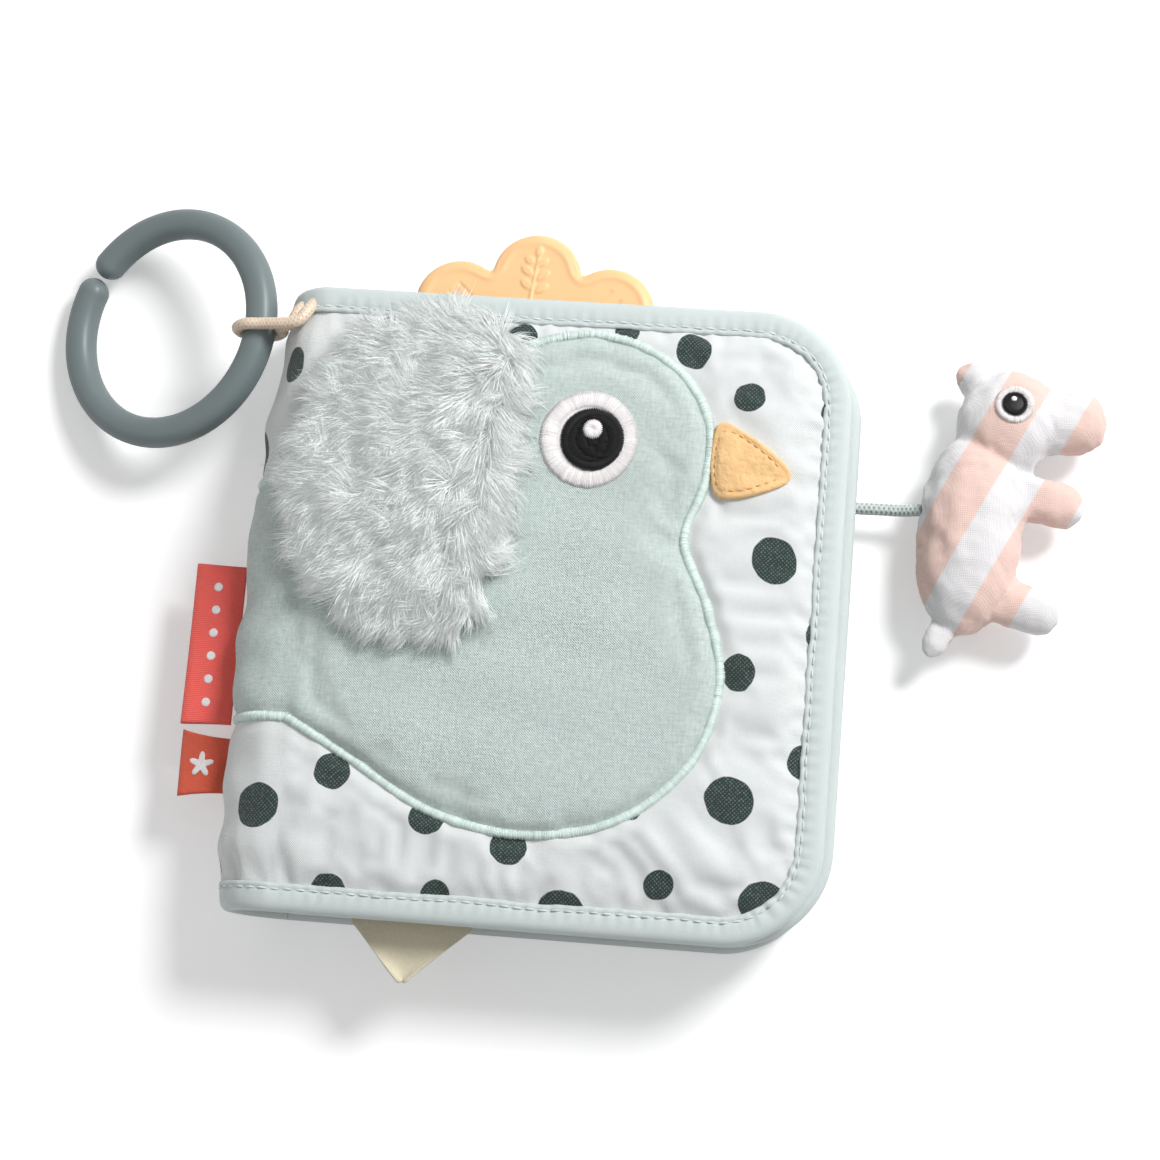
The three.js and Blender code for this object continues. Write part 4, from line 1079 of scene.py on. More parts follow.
def makeCoverSurface():
    across, up = (int(round(size / coverSheet["step"])) for size in (book["reach"], coverSheet["height"]))
    xs = np.linspace(book["fore"] - 1.2, book["fold"] + 0.9, across)
    turns = np.linspace(0, math.pi, coverSheet["spineSteps"] + 1)
    us = np.concatenate([xs, -np.interp(turns, spineReach[1], spineReach[0])])
    u, y = np.meshgrid(us, np.linspace(-coverSheet["edge"], coverSheet["edge"], up + 1), indexing="ij")
    grid = coverAt(u, y)
    inset = insetOnCover(u, y)
    # the sewn border of the bird presses its line down
    fromBorder = np.abs(insideOf(birdOutline, u, y))
    dip = -coverSheet["stitchDip"] * bellAt(fromBorder, 0, 2.6) * smooth01((inset - 8) / 6)
    grid = grid + gridNormals(grid) * dip[..., None]
    keep = inset > coverSheet["hem"]
    piece = gridPiece("coverTrial", grid, keep)
    pins = (inset < 8.6) | (u < book["fold"] + 2.5) | (fromBorder < 1.5)
    used = cellsOf(keep)[1]
    grid[used] = puffed(piece, grid[used], pins[used].astype(float), coverSheet, "cover padding")
    bpy.data.objects.remove(piece)
    grid, u, y = finer(grid), finer(u), finer(y)
    inset = insetOnCover(u, y)
    grid = grid + gridNormals(grid) * coverLift(u, y, inset)[..., None]
    grid[..., 2] = np.maximum(grid[..., 2], 0.05)  # the book lies on a table
    return {"u": u, "y": y, "grid": grid, "normal": gridNormals(grid), "inset": inset}


cover = makeCoverSurface()


def onSurface(u, y, off=0.0):  # a place on the finished cover, lifted off it
    rows, cols = cover["u"][:, 0], cover["y"][0, :]
    fi = np.interp(-np.asarray(u, float), -rows, np.arange(len(rows)))
    fj = np.interp(np.asarray(y, float), cols, np.arange(len(cols)))
    i, j = np.clip(fi.astype(int), 0, len(rows) - 2), np.clip(fj.astype(int), 0, len(cols) - 2)
    a, b = (fi - i)[..., None], (fj - j)[..., None]

    def pick(values):
        return (values[i, j] * (1 - a) * (1 - b) + values[i + 1, j] * a * (1 - b)
                + values[i, j + 1] * (1 - a) * b + values[i + 1, j + 1] * a * b)
    normal = pick(cover["normal"])
    normal /= np.linalg.norm(normal, axis=-1)[..., None]
    return pick(cover["grid"]) + normal * np.asarray(off)[..., None], normal


dotSizes = (3.2, 3.9, 4.6, 4.6, 5.3, 6.1)
dotRooms = {  # seed, two corners, how many and how far apart
    "cover": (31, (4 - spineReach[0][-1], -76), (70, 76), 84, 17.6),
    "back": (47, (-60, -76), (70, 76), 56, 19.5),
}


def scatterDots(seed, low, high, count, spacing):  # places and sizes of the printed dots
    rng = random.Random(seed)
    dots = []
    tries = 0
    while len(dots) < count and tries < 6000:
        tries += 1
        u, y, r = rng.uniform(low[0], high[0]), rng.uniform(low[1], high[1]), rng.choice(dotSizes)
        if all(math.hypot(u - a, y - b) > spacing + r + c - 8 for a, b, c in dots):
            dots.append((u, y, r))
    return dots


def dotField(u, y, dots):  # for each place, its offset to the nearest dot and that dot's radius
    field = np.full(u.shape + (3,), (99.0, 99.0, -50.0))
    nearest = np.full(u.shape, 1e9)
    for k, (a, b, r) in enumerate(dots):
        turn, oval = k * 2.4, 0.93 + 0.05 * math.sin(k * 1.7)
        dx, dy = u - a, y - b
        along, across = dx * math.cos(turn) + dy * math.sin(turn), dy * math.cos(turn) - dx * math.sin(turn)
        across = across / oval
        far = np.hypot(along, across)
        near = far < nearest
        size = np.where(far < r + 3.0, r, -50.0)
        field[near] = np.stack([along, across, size], -1)[near]
        nearest = np.minimum(nearest, far)
    return field


def coarser(step):
    return [cover[key][::step, ::step] for key in ("u", "y", "inset", "grid", "normal")]


def makeCoverWadding():  # the filling under the cloth, drawn in from every seam
    u, _, inset, grid, normal = coarser(2)
    grid = grid - normal * (0.75 + 0.65 * smooth01((u - book["fold"] - 4) / 8))[..., None]
    keep = (inset > 10.5) & (u < 62) & (np.abs(u - book["fold"] + 1) > 5)
    piece = gridPiece("coverWadding", grid, keep, 1.2, paints["wadding"])
    bendOn(piece, "wadding", "front_cover_wadding", "spine_wadding")


def makeFilm():  # the crinkling film under the front cover's filling
    u, y, inset, grid, normal = coarser(3)
    grid = grid - normal * 3.1 + normal * 0.15 * waves(u, y, 7, 90)[..., None]
    piece = gridPiece("crinkleFilm", grid, (inset > 13) & (u > book["fold"] + 7), 0.15, paints["film"])
    rideOn(piece, "front_cover", "crinkle_film", "front_cover_crinkle_film")


def makeCoverCloth():
    u, y = cover["u"], cover["y"]
    dots = {"dots": dotField(u, y, scatterDots(*dotRooms["cover"]))}
    keep = cover["inset"] > coverSheet["hem"]
    piece = gridPiece("coverCloth", cover["grid"], keep, coverSheet["ply"], paints["coverCotton"], dots, (u, y))
    bendOn(piece, "cotton", "front_cover_panel", "spine_panel")


bird = {
    "step": 1.1, "ply": 0.4, "border": {"length": 2.6, "width": 0.46, "height": 0.82, "along": "y"},
    "borderStep": 0.4, "borderLift": 0.42,
}


def makeBirdCloth():
    us, ys = (np.arange(c.min() - 1, c.max() + 2, bird["step"]) for c in birdOutline.T)
    u, y = np.meshgrid(us[::-1], ys, indexing="ij")
    within = insideOf(birdOutline, u, y)
    grid, _ = onSurface(u, y, 0.16 + 0.5 * smooth01((within - 0.9) / 2.6))
    piece = gridPiece("birdCloth", grid, within > -0.6, bird["ply"], paints["sageTwill"], None, (u, y))
    bendOn(piece, "sage", "applique_bird", "spine_applique")


def makeBirdBorder():
    under, up = onSurface(birdOutline[:, 0], birdOutline[:, 1], bird["borderLift"])
    paint = paints["mintThread"]
    piece = threadAlong("birdBorder", [under], [up], bird["border"], bird["borderStep"], paint, 0.12, 4)
    bendOn(piece, "mint_thread", "applique_border")


makeCoverWadding()
makeFilm()
makeCoverCloth()
makeBirdCloth()
makeBirdBorder()
print("cover and bird ready")


# Bias tape: one sweep round the front cover and both ends of the spine, one round each other page

tape = {
    # distance in from the edge and height over the page's middle, from the lip's foot over the top to the edge
    "profile": [(1.7, 0.9), (6.2, 1.12), (6.9, 1.32), (7.08, 1.66), (6.95, 2.02), (6.45, 2.2), (6.0, 2.16),
                (5.6, 1.94), (5.2, 2.14), (4.4, 2.24), (3.2, 2.27), (2.0, 2.16), (1.05, 1.86), (0.38, 1.28),
                (0.06, 0.58)],
    "step": 0.85, "ripple": 0.17, "cornerRipple": 0.42, "face": 1.3, "most": 2.34, "archSteps": 58,
    "stitch": {"length": 2.2, "width": 0.52, "height": 0.24, "segments": 5},
    "stitchInset": 5.6, "pitch": 3.2, "stitchHigh": 2.06, "stitchLow": 1.2,
}
tapeS, tapeH = np.array(tape["profile"] + [(0.0, 0.0)] + [(s, -h) for s, h in tape["profile"][::-1]]).T


def edgeRun(page, setback=0.0):  # places along a page's free edges, foot to head, with their inward normals
    r, step = book["corner"], tape["step"]
    cx, cy = page["fore"] - r, page["half"] - r
    arcs = int(r * math.pi / 2 / step)
    places = [(x, -page["half"], 0, 1) for x in np.arange(page["root"] + setback, cx, step)]
    for side in (-1, 1):
        for i in range(arcs):
            a = math.pi / 2 * (i / arcs - (1 if side < 0 else 0))
            places.append((cx + r * math.cos(a), side * cy + r * math.sin(a), -math.cos(a), -math.sin(a)))
        if side < 0:
            places += [(page["fore"], y, -1, 0) for y in np.arange(-cy, cy, step)]
    places += [(x, page["half"], 0, -1) for x in np.arange(cx, page["root"] + setback - 0.01, -step)]
    base, normal = np.split(np.array(places, float), 2, axis=1)
    corner = bellAt(np.abs(np.degrees(np.arctan2(normal[:, 1], normal[:, 0]))), 135, 34)
    return base, normal, runOf(base), corner


def tapePoints(page, s, h, seed, setback=0.0):  # [place along, place round the profile, xyz]
    base, normal, run, corner = edgeRun(page, setback)
    s, h = np.atleast_1d(s), np.atleast_1d(h)

    def along(size, more):
        return waves(run, run * 0, size, seed + more)
    inner = smooth01((s - 1.5) / 3.5)
    sAll = s[None, :] + (0.14 * along(21, 0) + 0.1 * along(8, 1))[:, None] * inner[None, :]
    gather = tape["ripple"] * np.sin(wholeTurn * run / tape["pitch"] + 0.9)
    gather = gather + tape["cornerRipple"] * corner * np.sin(wholeTurn * (run + 2 * along(17, 2)) / 4.4)
    lift = np.minimum(gather[:, None] * inner[None, :] * (np.abs(h) > tape["face"])[None, :], 0.16)
    hAll = h[None, :] * (1 + 0.02 * along(30, 3))[:, None] + np.sign(h)[None, :] * lift
    out = np.empty((len(run), len(s), 3))
    out[..., :2] = base[:, None] + normal[:, None] * sAll[..., None]
    out[..., 2] = page["mid"] + np.clip(hAll, -tape["most"], tape["most"])
    return out


def archTape(s, h, side):  # the same tape over an end of the spine, from the cover to the back
    turns = np.linspace(0.012, math.pi, tape["archSteps"])
    s, h = np.atleast_1d(s), np.atleast_1d(h)
    lift = np.minimum(0.12, (0.14 * np.sin(turns * 13) + 0.1 * np.sin(turns * 21 + 1))[:, None])
    lift = np.sign(h)[None, :] * lift * smooth01((s - 1.5) / 3.5)[None, :] * (np.abs(h) > tape["face"])
    hAll = np.clip(h[None, :] + lift, -tape["most"], tape["most"])
    y = side * (book["half"] - np.broadcast_to(s[None, :], hAll.shape))
    return archPoint(y, hAll - book["rim"], np.broadcast_to(turns[:, None], hAll.shape))


def coverTape(s, h):
    foot, head = archTape(s, h, -1)[::-1], archTape(s, h, 1)
    return np.concatenate([foot, tapePoints(pages["front"], s, h, 41), head])


def taped(name, rings, closed=False):
    return withClothUv(sweepPiece(name, rings, closed, paints["satinTape"]))


dash = unitThread(**tape["stitch"])
bindings = [  # page, body, seed, and how far its ends stay off the root
    ("leafA", "leaf_a", 51, 0.7), ("leafB", "leaf_b", 61, 0.7), ("back", "back_cover", 71, -0.25),
]


def dashesOn(name, line, spacing, seed, closed=False):  # a sewn line that lies flat
    return stitchAlong(name, [line], [straightUp], dash, spacing, paints["tapeThread"], 0.1, seed, closed)


def sewn(name, points, side, high, seed):  # dashes along the tape, standing off the surface below
    upper, lower = points(side * high), points(side * tape["stitchLow"])
    up = upper - lower
    up /= np.linalg.norm(up, axis=1)[:, None]
    return stitchAlong(name, [upper], [up], dash, tape["pitch"], paints["tapeThread"], 0.08, seed)


def makeTapes():
    bendOn(taped("coverBinding", coverTape(tapeS, tapeH)), "satin_tape",
           "front_cover_binding", "spine_binding_top", "spine_binding_bottom")

    def coverRow(h):
        return coverTape(tape["stitchInset"], h)[:, 0]
    rows = [sewn("coverRow", coverRow, side, tape["stitchHigh"], seed) for side, seed in ((1, 3), (-1, 4))]
    bendOn(liftTo(joined("coverStitches", rows, paints["tapeThread"]), 0.03), "satin_tape")
    for key, body, seed, setback in bindings:
        def pageRow(h):
            return tapePoints(pages[key], tape["stitchInset"], h, seed, setback)[2:-2, 0]
        piece = taped(key + "Binding", tapePoints(pages[key], tapeS, tapeH, seed, setback))
        rideOn(piece, body, "satin_tape", body + "_binding")
        # nothing stands below the table's face
        highs = {1: tape["stitchHigh"], -1: 1.72 if key == "back" else tape["stitchHigh"]}
        rows = [sewn(key + "Row", pageRow, side, high, seed + side) for side, high in highs.items()]
        rideOn(liftTo(joined(key + "Stitches", rows, paints["tapeThread"]), 0.03), body, "satin_tape")


makeTapes()
print("tapes ready")


# Inner faces of the pages, the leaves and the back cover

padding = {"step": 2.0, "wrinkle": 0.16, "rootRise": 5.0, "ply": 0.45, "gather": 0.16, "hem": 1.4}


def pageFace(page, side, half, seed, flat):
    hem, step = padding["hem"], padding["step"]
    end = page["root"] - (0.2 if flat else -0.3)
    xs = np.linspace(page["fore"] - hem, end, int((page["fore"] - page["root"]) / step))
    ys = np.linspace(-page["half"] + hem, page["half"] - hem, int(2 * page["half"] / step))
    x, y = np.meshgrid(xs, ys, indexing="ij")
    rise = padHeight(page, x, y, half, book["liningCrown"], "flat") - book["rim"]
    rise = rise * smooth01((x - page["root"] - 0.4) / padding["rootRise"])
    inset = insetOf(page, x, y)
    if not flat:
        pull = padding["wrinkle"] * (waves(x, y, 28, seed) - 0.9) * smooth01((inset - 8) / 9)
        gather = np.sin(wholeTurn * (alongEdge(page, x, y) + 2 * waves(x, y, 22, seed + 1)) / 6.5) - 1
        near = np.exp(-np.maximum(inset - 7.4, 0) / 4) * smooth01((inset - 6.4) / 1.2)
        rise = rise + np.minimum(0, pull + padding["gather"] * gather * near)
    z = page["mid"] + side * (book["rim"] + np.maximum(0, rise))
    if flat:
        z = np.maximum(z, 0.02)
    grid = np.stack([x, y, z], -1)
    if side < 0:  # the outer side of this ply faces down
        return grid[:, ::-1], x[:, ::-1], y[:, ::-1], inset[:, ::-1]
    return grid, x, y, inset


frontHalf, backHalf = book["frontMid"] - book["frontLow"], book["backTop"] - book["backMid"]
plies = [  # piece, page, side, height over the page's middle, body, node, material, slot, seed
    ("coverLining", "front", -1, frontHalf, "front_cover", "lining", "stripedLining", "lining", 5),
    ("leafAUpper", "leafA", 1, book["leafHalf"], "leaf_a", "upper_panel", "blushStripes", "cotton", 6),
    ("leafALower", "leafA", -1, book["leafHalf"], "leaf_a", "lower_panel", "sageStripes", "cotton", 7),
    ("leafBUpper", "leafB", 1, book["leafHalf"], "leaf_b", "upper_panel", "mintStripes", "cotton", 8),
    ("leafBLower", "leafB", -1, book["leafHalf"], "leaf_b", "lower_panel", "blushStripes", "cotton", 9),
    ("backLining", "back", 1, backHalf, "back_cover", "lining", "stripedLining", "lining", 10),
    ("backPanel", "back", -1, book["backMid"], "back_cover", "panel", "backCotton", "cotton", 11),
]


def makeFaces():
    dots = scatterDots(*dotRooms["back"])
    for name, page, side, half, body, node, paint, slot, seed in plies:
        flat = name == "backPanel"
        grid, x, y, inset = pageFace(pages[page], side, half, seed, flat)
        extra = {"dots": dotField(x, y, dots)} if flat else None
        piece = gridPiece(name, grid, inset > 1.2, padding["ply"], paints[paint], extra, (x, y))
        rideOn(piece, body, slot, f"{body}_{node}")


def makeSpineLining():
    t, y = np.meshgrid(np.linspace(0.06, math.pi - 0.06, 40), np.linspace(-77.4, 77.4, 78), indexing="ij")
    grid = archPoint(y, -4.65 + 0.14 * waves(t * 18, y, 20, 14), t)[:, ::-1]
    piece = gridPiece("spineLining", grid, None, 0.5, paints["paleLining"], None, (t[:, ::-1] * 17, y[:, ::-1]))
    rideOn(piece, "back_cover", "lining", "spine_lining")


makeFaces()
makeSpineLining()
print("pages ready")


# Beak and eye

beakShares = [(0.757, 0.615), (0.885, 0.492), (0.893, 0.46), (0.88, 0.428), (0.762, 0.385)]
beak = {
    "skirt": 0.5, "stitchShare": 0.78, "stitchLift": 1.12, "pitch": 2.3,
    "stitch": {"length": 1.6, "width": 0.42, "height": 0.25, "segments": 4},
}


def makeBeak():
    outline = smoothLine(onCover(beakShares), 90, closed=True)
    centre = outline.mean(0)

    def place(u, y, share):
        d = insideOf(outline, u, y)
        crown = 0.55 + 0.85 * domed(1 - np.clip(d, 0, 1.1) / 1.1, 2) - 0.3 * bellAt(d, 1.5, 0.5)
        return onSurface(u, y, crown + 0.05 * waves(u, y, 3, 5))[0]
    piece = fanPiece("beakFelt", outline, centre, place, 16, 0, paints["apricotFelt"])
    # a skirt closes the felt down to the cloth
    n = len(outline)
    bm = bmesh.new()
    bm.from_mesh(piece.data)
    bm.verts.ensure_lookup_table()
    ordered = bm.verts[:n]
    lowVerts = [bm.verts.new((v.co.x, v.co.y, v.co.z - beak["skirt"] * mm)) for v in ordered]
    for j in range(n):
        bm.faces.new((ordered[(j + 1) % n], ordered[j], lowVerts[j], lowVerts[(j + 1) % n]))
    bm.faces.new(lowVerts[::-1])
    bm.to_mesh(piece.data)
    bm.free()
    rideOn(outward(piece), "front_cover", "apricot_felt", "applique_beak")
    line = centre + (outline - centre) * beak["stitchShare"]
    upper, up = onSurface(line[:, 0], line[:, 1], beak["stitchLift"])
    paint = paints["apricotThread"]
    piece = threadAlong("beakStitches", [upper], [up], beak["stitch"], beak["pitch"], paint, 0.1, 8)
    rideOn(piece, "front_cover", "apricot_felt")


eye = {
    "place": (7.263, 42.4), "white": 12.0, "black": 8.0, "glint": 2.6, "shift": (0.96, 0.0), "glintUp": 2.4,
    "row": {"length": 2.9, "width": 0.46, "height": 0.16, "segments": 4}, "rowStep": 0.4, "rowTurn": 0.35,
}


def discOnCover(name, centre, radius, low, high, paint, slot, *nodes):
    def place(u, y, share):
        return onSurface(u, y, low + (high - low) * domed(share, 6))[0]
    piece = fanPiece(name, circle(centre, radius), centre, place, 8, 0.35, paints[paint])
    rideOn(piece, "front_cover", slot, *nodes)


def ringOfThread(name, centre, radius, across, height, paint, slot, seed, spacing=0.38):
    line = circle(centre, radius, 160)
    under, up = onSurface(line[:, 0], line[:, 1], height)
    thread = {"length": across, "width": 0.5, "height": 0.42, "along": "y", "segments": 5}
    rideOn(threadAlong(name, [under], [up], thread, spacing, paints[paint], 0.06, seed), "front_cover", slot)


def rowsOfThread(name, centre, radius, height, paint, slot, seed):
    lines, ups = [], []
    rng = random.Random(seed)
    c, s = math.cos(eye["rowTurn"]), math.sin(eye["rowTurn"])
    for off in np.arange(-radius + 0.25, radius, eye["rowStep"]):
        half = math.sqrt(max(radius ** 2 - off ** 2, 0))
        if half < 0.7:
            continue
        along = np.linspace(-half + 0.1, half - 0.1, max(3, int(half * 2)))
        along = along + (rng.random() - 0.5) * 0.1
        at, up = onSurface(centre[0] + along * c - off * s, centre[1] + along * s + off * c, height)
        lines.append(at)
        ups.append(up)
    piece = threadAlong(name, lines, ups, eye["row"], 2.5, paints[paint], 0.1, seed, closed=False)
    rideOn(piece, "front_cover", slot)


def makeEye():
    c, white, black, glint = (eye[key] for key in ("place", "white", "black", "glint"))
    p = (c[0] + eye["shift"][0], c[1] + eye["shift"][1])
    g = (p[0], p[1] + eye["glintUp"])
    pale, dark = ("whiteThread", "white_thread"), ("blackThread", "charcoal_thread")
    discOnCover("eyeWhiteBase", c, white - 0.5, 0.7, 1.0, *pale, "eye_white")
    ringOfThread("eyeWhiteThread", c, (white + black) / 2 + 0.1, white - black + 0.4, 0.98, *pale, 21)
    discOnCover("eyeBlackBase", p, black - 0.5, 1.2, 1.5, *dark, "eye_pupil")
    ringOfThread("eyeBlackRing", p, black - 1.35, 2.7, 1.38, *dark, 22)
    rowsOfThread("eyeBlackRows", p, black - 2.6, 1.62, *dark, 23)
    discOnCover("eyeGlintBase", g, glint - 0.3, 1.75, 2.1, *pale, "eye_glint")
    ringOfThread("eyeGlintThread", g, glint * 0.52, glint * 0.9, 2.0, *pale, 24, spacing=0.3)


makeBeak()
makeEye()
print("beak and eye ready")


# Wing: a backing with long pile, hinged along its seam

wing = {
    "low": 37.05, "ply": 1.1, "domeHeight": 4.6, "clump": 8.0, "napFrom": (8.0, 60.0),
    "strandLength": 11.8, "strandWidth": 0.27, "strands": 12, "tufts": 6, "parts": 5,
    "density": 0.3e6, "lean": 1.5, "stray": 0.75, "shortest": 0.6, "longest": 1.2,
    "seam": ((-10.894, 66.4), (-15.199, 6.4)), "seamLow": 36.98, "seamStitchHigh": 37.86,
    "seamSection": [(0.15, 0.15), (0.3, 0.75), (0.9, 0.95), (1.5, 0.9), (2.1, 0.95), (2.7, 0.75), (2.85, 0.15),
                    (1.5, 0.1)],
}


def fullWing():  # the pile and its backing reach a little past the book's fold and down
    x, y = wingOutline[:, 0], wingOutline[:, 1]
    drop = 2.0 * smooth01((12 - y) / 14) + 4.5 * smooth01((y - 58) / 16) * smooth01((x + 46) / 16)
    return np.stack([x - 6.5 * smooth01((-20 - x) / 26), y - drop], 1)


def napAt(points):  # the way the pile lies: away from the seam, in clumps, and over the seam beside it
    x, y = points[:, 0], points[:, 1]
    turn = np.arctan2((y - wing["napFrom"][1]) * 0.95, x - wing["napFrom"][0])
    size = wing["clump"]
    turn = turn + 0.8 * waves(x, y, size, 61) + 0.4 * waves(x, y, size * 2.6, 62)
    (x0, y0), (x1, y1) = wing["seam"]
    seamX = x1 + (x0 - x1) * (y - y1) / (y0 - y1)
    over = smooth01((7.5 - (seamX - x) + 2.5 * waves(x, y, 6, 64)) / 6)
    reach = 0.8 + 0.3 * waves(x, y, size * 1.2, 63)
    reach = reach * (0.75 + 0.6 * smooth01(np.hypot(x + 38, (y - 38) * 0.6) / 24))
    left = np.stack([np.cos(turn), np.sin(turn), 0 * x], 1)
    right = np.stack([np.cos(turn + math.pi) * 0.6 + 0.3, -0.5 + 0.5 * waves(x, y, 9, 65), 0 * x], 1)
    return (left * (1 - over)[:, None] + right * over[:, None]) * reach[:, None]


def makeTuft(variant):  # a clump of tapering three-sided strands
    rng = random.Random(300 + variant)
    points, faces, reach = [], [], []
    for _ in range(wing["strands"]):
        a, r = rng.uniform(0, wholeTurn), rng.uniform(0.1, 1.25)
        root = np.array([r * math.cos(a), r * math.sin(a), -0.8])
        tall, bend = wing["strandLength"] * rng.uniform(0.72, 1.12), rng.uniform(0.25, 0.6)
        sx, sy = (0.9 * (0.45 * part + rng.uniform(-0.6, 0.6)) for part in (math.cos(a), math.sin(a)))

        def along(t):
            sway = 1.6 * sy * t + 0.5 * math.sin(3 * t + variant)
            return root + np.array([tall * bend * t * t + sx * t, sway, tall * t * (1 - 0.22 * t)])
        first = len(points)
        for t in (0, 1 / 3, 2 / 3):
            wide = wing["strandWidth"] * (1 - 0.55 * t) / 2
            for b in a + turnsRound(3):
                points.append(along(t) + np.array([wide * math.cos(b), wide * math.sin(b), 0]))
                reach.append(t)
        points.append(along(1))
        reach.append(1)
        faces += [tuple(first + i for i in face) for face in ringFaces(3, 3) + tipFaces(6, 3, 9)]
    mesh = toMesh(f"tuft{variant}", points, faces)
    roundFaces(mesh)
    store(mesh, "reach", reach)
    return bpy.data.objects.new(mesh.name, mesh)


def domeAt(u, y, share):
    dome = wing["domeHeight"] * domed(share, 3) * (1 + 0.2 * waves(u, y, 12, 66))
    return np.stack([u, y, wing["low"] + wing["ply"] + 0.2 + dome], -1)


def makePile(outline, centre):
    folder = bpy.data.collections.new("pileTufts")
    bpy.context.scene.collection.children.link(folder)
    for variant in range(wing["tufts"]):
        folder.objects.link(makeTuft(variant))
    for part in range(wing["parts"]):
        pad = fanPiece("wingNap", centre + (outline - centre) * 0.97, centre, domeAt, 14, extra={"nap": napAt})
        values = {
            "Tufts": folder, "Pile": paints["longPile"], "Seed": 80 + part, "Density": wing["density"],
            "Lean": wing["lean"], "Unruliness": wing["stray"], "Shortest": wing["shortest"],
            "Longest": wing["longest"],
        }
        piece = runNodes(pad, furTree, values, f"wingPile{part + 1}", paints["longPile"])
        rideOn(liftTo(piece, wing["low"] - 0.2), "wing", "long_pile")
    for tuft in list(folder.objects):
        bpy.data.objects.remove(tuft)
    bpy.data.collections.remove(folder)


def makeWing():
    outline = fullWing()
    centre = outline.mean(0) + np.array([-1.5, 0])

    def flat(u, y, share):
        return np.stack([u, y, wing["low"] + wing["ply"] - 0.35 * share ** 8], -1)
    piece = fanPiece("wingBacking", outline, centre, flat, 8, wing["ply"] - 0.1, paints["sageTwill"])
    rideOn(piece, "wing", "sage", "wing_backing")
    piece = fanPiece("wingPad", centre + (outline - centre) * 0.95, centre, domeAt, 12, 0.6, paints["longPile"])
    rideOn(piece, "wing", "long_pile", "wing_fur")
    makePile(outline, centre)


def makeSeam():  # the tape that hinges the wing
    (x0, y0), (x1, y1) = wing["seam"]
    along = np.linspace(0, 1, 60)
    mid = np.stack([x0 + (x1 - x0) * along, y0 + (y1 - y0) * along], 1)
    out = np.array([-(y1 - y0), x1 - x0]) / math.hypot(x1 - x0, y1 - y0)
    rings = []
    for i, p in enumerate(mid):
        high = wing["seamLow"] + 0.06 * math.sin(i * 0.9)
        rings.append([(*(p + out * s), high + h) for s, h in wing["seamSection"]])
    rideOn(taped("seamTape", rings), "front_cover", "satin_tape", "wing_seam_tape")
    line = np.array([(*(p + out * 1.5), wing["seamStitchHigh"]) for p in mid])
    rideOn(dashesOn("seamStitches", line, 3.2, 5), "front_cover", "satin_tape")


makeWing()
makeSeam()
print("wing ready")


# Ring and elastic

ring = {
    "centre": (-107.467, 71.2, 14.976), "right": (0.927184, 0.0, 0.374607), "radius": 28.5, "tube": 4.0,
    "gapAngle": 148.0, "gap": 0.9, "around": 40, "steps": 260, "tipSteps": 9,
    "square": 2.3,  # a tube a little squared off, as moulded rings are
}
elastic = {
    "diameter": 3.1,
    "route": [(-66.6, 75.6, 30.9), (-67.6, 73.0, 32.9), (-69.867, 69.91, 33.707), (-79.528, 69.29, 31.303),
              (-83.968, 69.135, 30.719), (-86.693, 68.98, 27.167), (-86.109, 68.98, 22.728),
              (-82.557, 69.135, 20.002), (-78.118, 69.29, 20.586), (-75.392, 69.445, 24.138),
              (-75.545, 69.6, 27.653), (-72.302, 70.065, 30.122), (-71.0, 72.9, 30.0), (-69.6, 75.4, 28.6)],
    "strands": 5, "layLength": 5.2, "relief": 0.11, "around": 48, "step": 0.24,
}


def makeRing():
    centre, right, up = np.array(ring["centre"]), np.array(ring["right"]), np.array([0, 1.0, 0])
    out = np.cross(right, up)
    half = math.degrees((ring["tube"] + ring["gap"] / 2) / ring["radius"])
    start, stop = ring["gapAngle"] + half, ring["gapAngle"] + 360 - half
    # rounded ends
    t = 1 - np.cos(math.pi / 2 * (np.arange(ring["tipSteps"]) + 0.35) / ring["tipSteps"])
    tip, thin = math.degrees(ring["tube"] / ring["radius"]) * (t - 1), np.sqrt(1 - (1 - t) ** 2)
    angles = np.concatenate([start + tip, np.linspace(start, stop, ring["steps"]), stop - tip[::-1]])
    widths = np.concatenate([thin, np.ones(ring["steps"]), thin[::-1]])
    b, square = turnsRound(ring["around"]), ring["square"]
    c, s = np.cos(b), np.sin(b)
    r = ring["tube"] * (np.abs(c) ** square + np.abs(s) ** square) ** (-1 / square) * 0.985
    rings = []
    for a, w in zip(np.radians(angles), widths):
        spoke = right * math.cos(a) + up * math.sin(a)
        rings.append(centre + spoke * (ring["radius"] + w * r * c)[:, None] + out * (w * r * s)[:, None])
    piece = sweepPiece("clipRing", rings, material=paints["slatePlastic"])
    rideOn(piece, "ring", "slate_plastic", "clip_ring")


def makeElastic():
    rings, _, tone = cordRings(elastic)
    piece = sweepPiece("elasticLoop", rings, material=paints["roseElastic"], tone=tone)
    rideOn(piece, "elastic", "rose_elastic", "elastic_loop")


makeRing()
makeElastic()
print("ring and elastic ready")


# Teether with its strap

teether = {
    "place": (-10.626, 60.0), "low": 22.225, "thick": 4.6, "edge": 2.1, "around": 560,
    "lobeRing": 27.5, "lobe": 11.5, "lobes": 8,
    "barFoot": 22.1, "barHead": 25.1, "slotHalf": 7.13, "slotHead": 27.87, "barHalf": 1.0,
    "rimAt": 2.6, "rimHigh": 0.28, "sprig": 0.5, "sprigAt": (-0.4, 27.0), "groove": 0.34,
    "leaves": [(-4.2, 1, 4.4), (-3.2, -1, 4.2), (-0.8, 1, 4.6), (0.4, -1, 4.4), (3.0, 1, 3.6), (3.6, -1, 3.4)],
}


